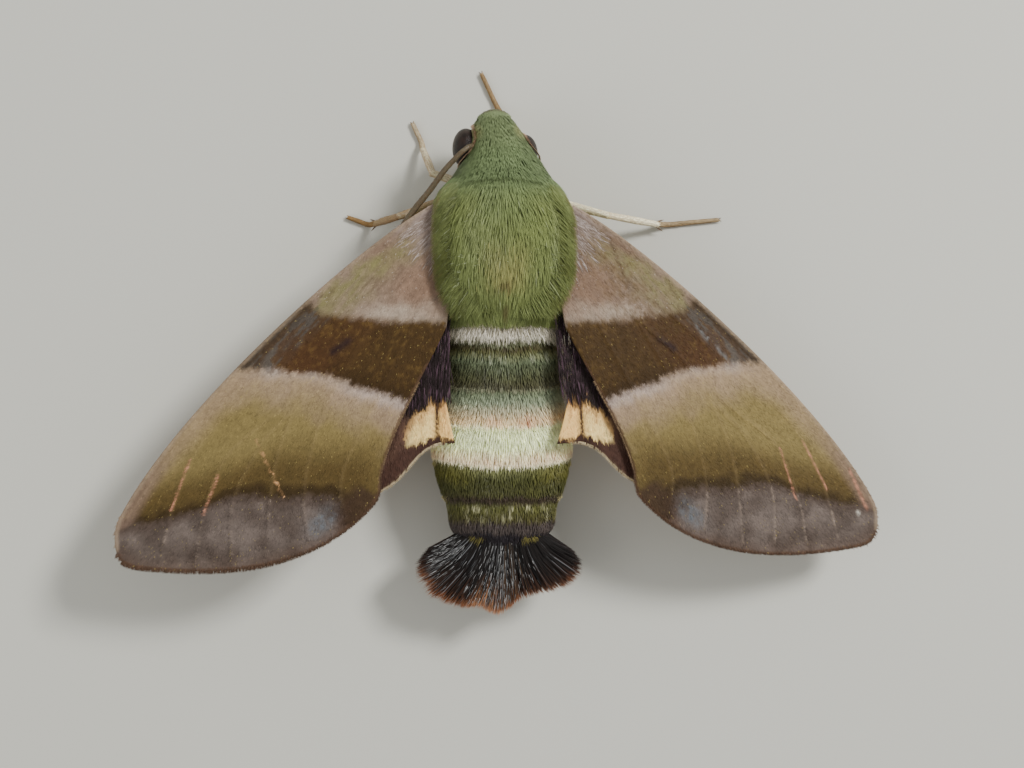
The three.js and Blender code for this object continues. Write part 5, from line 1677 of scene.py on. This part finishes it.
def feeler_colour(at, turn):
    """Brown below and greyer above."""
    colour = between(srgb(84, 62, 46), srgb(98, 88, 68), ramp(np.sin(turn), -0.3, 0.4))
    return colour * rng.uniform(0.8, 1.15, len(at))[:, None]


for name, points in FEELERS.items():
    path, radii = smooth_path(bent(points), FEELER_RADII)
    mesh = make_rod("feeler", path, radii, FEELER_RINGS, RING_WAIST, feeler_horn)
    show(f"feeler_rod_{name}", mesh, feeler_horn, "feeler_scales", f"feeler_{name}")
    spine, out, tint, place = rod_scales(
        path[:-HOOK_POINTS], radii[:-HOOK_POINTS], count=1500, length=(0.14, 0.24), lift=(0.05, 0.3),
        turns=(-0.6, math.pi + 0.6), chooser=feeler_colour)
    # The right feeler leaves the coat further down, so its root is clothed in the coat's green.
    green_root = (name == "right") * ramp(-place[:, 0], -0.14, -0.06) * 0.85
    tint = over(tint, LEAF, green_root)
    width = rng.uniform(0.07, 0.10, len(spine))[:, None] * np.ones((1, 2))
    scales = strands(f"feeler_scales_{name}", spine, out, width, tint, place, thickness=0.2)
    show(scales.name, scales, scale_finish, "feeler_scales")

# ---- Palps and tongue ----
# Two stout palps clothed with scales close the mouth and make the snout. The tongue is a ringed tube wound
# like a watch spring between them.
for name, hand in (("left", -1), ("right", 1)):
    path, radii = smooth_path(bent([(hand * PALP_SIDE, y, z) for y, z in PALP]), [PALP_RADIUS])
    spine, out, _, place = rod_scales(path, radii, count=2000, length=(0.26, 0.42), lift=(0.05, 0.3),
                                      turns=ALL_ROUND, chooser=lambda at, turn: None, stations=CURVED)
    nose = ramp(spine[:, 0, 1], 7.45, 7.7) * ramp(spine[:, 0, 2], 4.0, 4.6)
    colours = over(coat_colour(spine[:, 0]), DARK_NOSE, nose * 0.5)
    width = rng.uniform(0.06, 0.10, len(spine))[:, None] * np.interp(CURVED, *BLUNT)
    palp = strands(f"palp_coat_{name}", spine, out, width, colours, place, thickness=0.2)
    show(palp.name, palp, scale_finish, "green_coat")

TONGUE = {"y": 4.75, "z": 1.55, "radius": 1.0, "pitch": 0.72, "turns": 1.15, "thickness": 0.4}
TONGUE_RINGS, TONGUE_WAIST = 90, 0.12
turns = np.linspace(0, TONGUE["turns"], 60)
coil = (TONGUE["radius"] - TONGUE["pitch"] * turns)[:, None] * np.stack(
    [0 * turns, np.sin(2 * math.pi * turns), np.cos(2 * math.pi * turns)], axis=-1)
coil = bent(coil + np.array([0, TONGUE["y"], TONGUE["z"]]))
tongue_paint = Paint("tongue", Roughness=0.3, Specular_IOR_Level=0.5, Coat_Weight=0.3)
tongue_tone = tongue_paint.noise(size=0.3, detail=2)
tongue_finish = tongue_paint.finish(
    Base_Color=tongue_paint.mix(tongue_tone, srgb(92, 54, 30), srgb(134, 88, 52)),
    Normal=tongue_paint.bump(tongue_paint.noise(size=0.06, detail=1), depth=0.01))
tongue = make_rod("tongue", coil, np.full(len(coil), TONGUE["thickness"] / 2), TONGUE_RINGS,
                  TONGUE_WAIST, tongue_finish)
show("tongue_coil", tongue, tongue_finish, "tongue", "proboscis")

# ---- Legs ----
# Thigh, shin and a foot of five joints with two claws, all clothed with narrow straw-coloured scales that
# are browner along the edges. The middle and hind shins bear pairs of spurs.
# The hip, the knee, the ankle, where the foot comes to the ground, and the toe.
LEGS = {
    "fore_left": [(-1.5, 3.3, 2.4), (-4.4, 4.1, 2.5), (-5.0, 5.9, 0.75), (-5.15, 6.6), (-5.65, 7.7)],
    "fore_right": [(1.5, 3.3, 2.4), (2.2, 5.7, 1.8), (0.6, 8.0, 0.85), (0.0, 9.2), (-0.95, 11.2)],
    "mid_left": [(-2.6, 2.6, 2.2), (-6.7, 1.1, 3.5), (-8.2, 0.9, 0.85), (-8.8, 0.9), (-9.95, 1.3)],
    "mid_right": [(2.6, 2.6, 2.2), (7.3, 1.3, 3.4), (11.0, 1.0, 0.85), (12.0, 1.05), (15.4, 1.4)],
    "hind_left": [(-2.2, -2.6, 1.7), (-5.6, -6.2, 3.4), (-8.4, -10.8, 0.85), (-8.9, -11.6), (-10.3, -14.0)],
    "hind_right": [(2.2, -2.6, 1.7), (5.6, -6.2, 3.2), (8.6, -10.8, 0.85), (9.1, -11.6), (10.6, -14.0)],
}
FOOT_HEIGHT = 0.2
# The least height over the ground of the legs' horn, scales, claws and hairs.
HORN_GAP, SCALE_GAP, CLAW_GAP, HAIR_GAP = 0.01, 0.03, 0.04, 0.05
FOOT_JOINTS = 5


def leg_colour(brown):
    """Colours from straw to brown, darker along the edges."""
    def choose(at, turn):
        edge = ramp(np.abs(np.cos(turn)), 0.55, 0.95)
        colour = between(srgb(255, 248, 214), srgb(180, 138, 96), edge * (0.1 + 0.8 * brown))
        colour = over(colour, srgb(134, 104, 62), np.full(len(at), brown))
        return colour * rng.uniform(0.85, 1.15, len(at))[:, None]
    return choose


# How brown the scales are on the thigh, the shin and the foot. The left middle leg's extra brown is painted
# shade.
LEG_BROWN_AND_SHADE = {
    "fore_left": (0.4, 0.5, 0.7), "fore_right": (0.6, 0.8, 0.95), "mid_left": (0.7, 0.9, 1.0),
    "mid_right": (0.0, 0.15, 0.85), "hind_left": (0.4, 0.5, 0.8), "hind_right": (0.4, 0.5, 0.8),
}
HORN_PALE, HORN_BROWN = np.array((242, 228, 190)), np.array((150, 116, 76))


def leg_horn(name, brown):
    """Horn of nearly the colour of the scales on it."""
    tone = HORN_PALE + (HORN_BROWN - HORN_PALE) * brown
    return horn(name, tone * 0.9, tone)


def halfway(start, end):
    """The point in the middle between two."""
    return tuple((np.array(start) + end) / 2)


def cuff_colour(at, turn):
    """Colours of the hair around the thigh's root: pale as the breast, and greener above."""
    colour = between(UNDER_CREAM, LEAF, ramp(np.sin(turn), -0.2, 0.8) * ramp(-at, -0.8, -0.2) * 0.6)
    return colour * rng.uniform(0.8, 1.1, len(at))[:, None]


# Steps forward, sideways and up along a claw, and forward along a spur, with the widths there.
CLAW = np.array([(0, 0, 0), (0.14, 0.05, 0.05), (0.26, 0.11, 0.0), (0.32, 0.14, -0.12)])
CLAW_WIDTHS = [0.09, 0.07, 0.05, 0.0]
SPUR = np.array([0.0, 0.35, 0.65, 0.9])[:, None]
SPUR_WIDTHS = [0.12, 0.11, 0.08, 0.0]
# How far to the side a spur starts, and how much it leans that way for its length.
SPUR_START, SPUR_LEAN = 0.1, 0.35
# Where along the shin its pairs of spurs sit.
SPUR_PLACES = {"fore": (), "mid": (0.96,), "hind": (0.6, 0.96)}
# How much of the thigh's rod is clothed with long hair.
CUFF_SHARE = 0.42
hook_spines, hook_widths = [], []
for name, (hip, knee, ankle, landing, toe) in LEGS.items():
    landing, toe = (*landing, FOOT_HEIGHT), (*toe, FOOT_HEIGHT)
    scale_parts = []
    leg_root = (hip[0] * 0.5, hip[1] + 0.1, hip[2] + 1.2)
    # Each part's path, radii, rings, depth of the rings and number of scales.
    lengths = {
        "femur": ([leg_root, hip, knee], [0.36, 0.36, 0.34, 0.33, 0.24], 1, 0.0, 1100),
        "tibia": ([knee, halfway(knee, ankle), ankle], [0.22, 0.25, 0.2], 1, 0.0, 800),
        "tarsus": ([ankle, landing, halfway(landing, toe), toe], [0.19, 0.17, 0.15, 0.13],
                   FOOT_JOINTS, 0.3, 700),
    }
    for (part, (points, sizes, rings, depth, count)), brown in zip(lengths.items(), LEG_BROWN_AND_SHADE[name]):
        path, radii = smooth_path(points, sizes)
        path[:, 2] = np.maximum(path[:, 2], radii + HORN_GAP)
        bare = leg_horn(f"{part} {name} horn", brown)
        mesh = make_rod(part, path, radii, rings, depth, bare, sides=10)
        show(f"{part}_{name}", mesh, bare, "leg_scales", f"leg_{name}_{part}")
        scale_parts.append(rod_scales(path, radii, count, length=(0.2, 0.34), lift=(0.02, 0.22),
                                      turns=ALL_ROUND, chooser=leg_colour(brown)))
        if part == "femur":
            root_end = int(len(path) * CUFF_SHARE)
            cuff, cuff_out, cuff_tint, cuff_place = rod_scales(
                path[:root_end], radii[:root_end], count=260, length=(0.5, 0.9), lift=(0.1, 0.4),
                turns=ALL_ROUND, chooser=cuff_colour, stations=CURVED)
            cuff[..., 2] = np.maximum(cuff[..., 2], HAIR_GAP)
            width = rng.uniform(0.07, 0.11, len(cuff))[:, None] * np.interp(CURVED, *POINTED)
            hairs = strands(f"thigh_hairs_{name}", cuff, cuff_out, width, cuff_tint, cuff_place)
            show(hairs.name, hairs, hair_finish, "leg_scales")
        if part == "tarsus":
            forward = unit(path[-1] - path[-8])
            across = np.array([-forward[1], forward[0], 0.0])
            for hand in (-1, 1):
                hook_spines.append(path[-1] + CLAW[:, :1] * forward + hand * CLAW[:, 1:2] * across
                                   + CLAW[:, 2:] * UPRIGHT)
                hook_widths.append(CLAW_WIDTHS)
        if part == "tibia":
            forward = unit(path[-1] - path[0])
            across = unit(np.cross(forward, UPRIGHT))
            for share in SPUR_PLACES[name.split("_")[0]]:
                start = path[int(share * (len(path) - 1))]
                for hand in (-1, 1):
                    aside = hand * (SPUR_START + SPUR_LEAN * SPUR)
                    hook_spines.append(start + SPUR * forward + aside * across)
                    hook_widths.append(SPUR_WIDTHS)
    spine, out, tint, place = (np.concatenate(column) for column in zip(*scale_parts))
    spine[..., 2] = np.maximum(spine[..., 2], SCALE_GAP)
    width = rng.uniform(0.12, 0.18, len(spine))[:, None] * np.ones((1, 2))
    scales = strands(f"leg_scales_{name}", spine, out, width, tint, place, thickness=0.12)
    show(scales.name, scales, scale_finish, "leg_scales")
hook_spines = np.array(hook_spines)
hook_spines[..., 2] = np.maximum(hook_spines[..., 2], CLAW_GAP)
count = len(hook_spines)
hooks = strands("claws_and_spurs", hook_spines, np.tile(UPRIGHT, (count, 1)), np.array(hook_widths),
                tones(srgb(70, 44, 28), np.ones(count)),
                np.stack([np.linspace(0, 0.9, count), np.full(count, 0.5)], axis=-1))
show("claws_and_spurs", hooks, feeler_horn, "leg_scales")
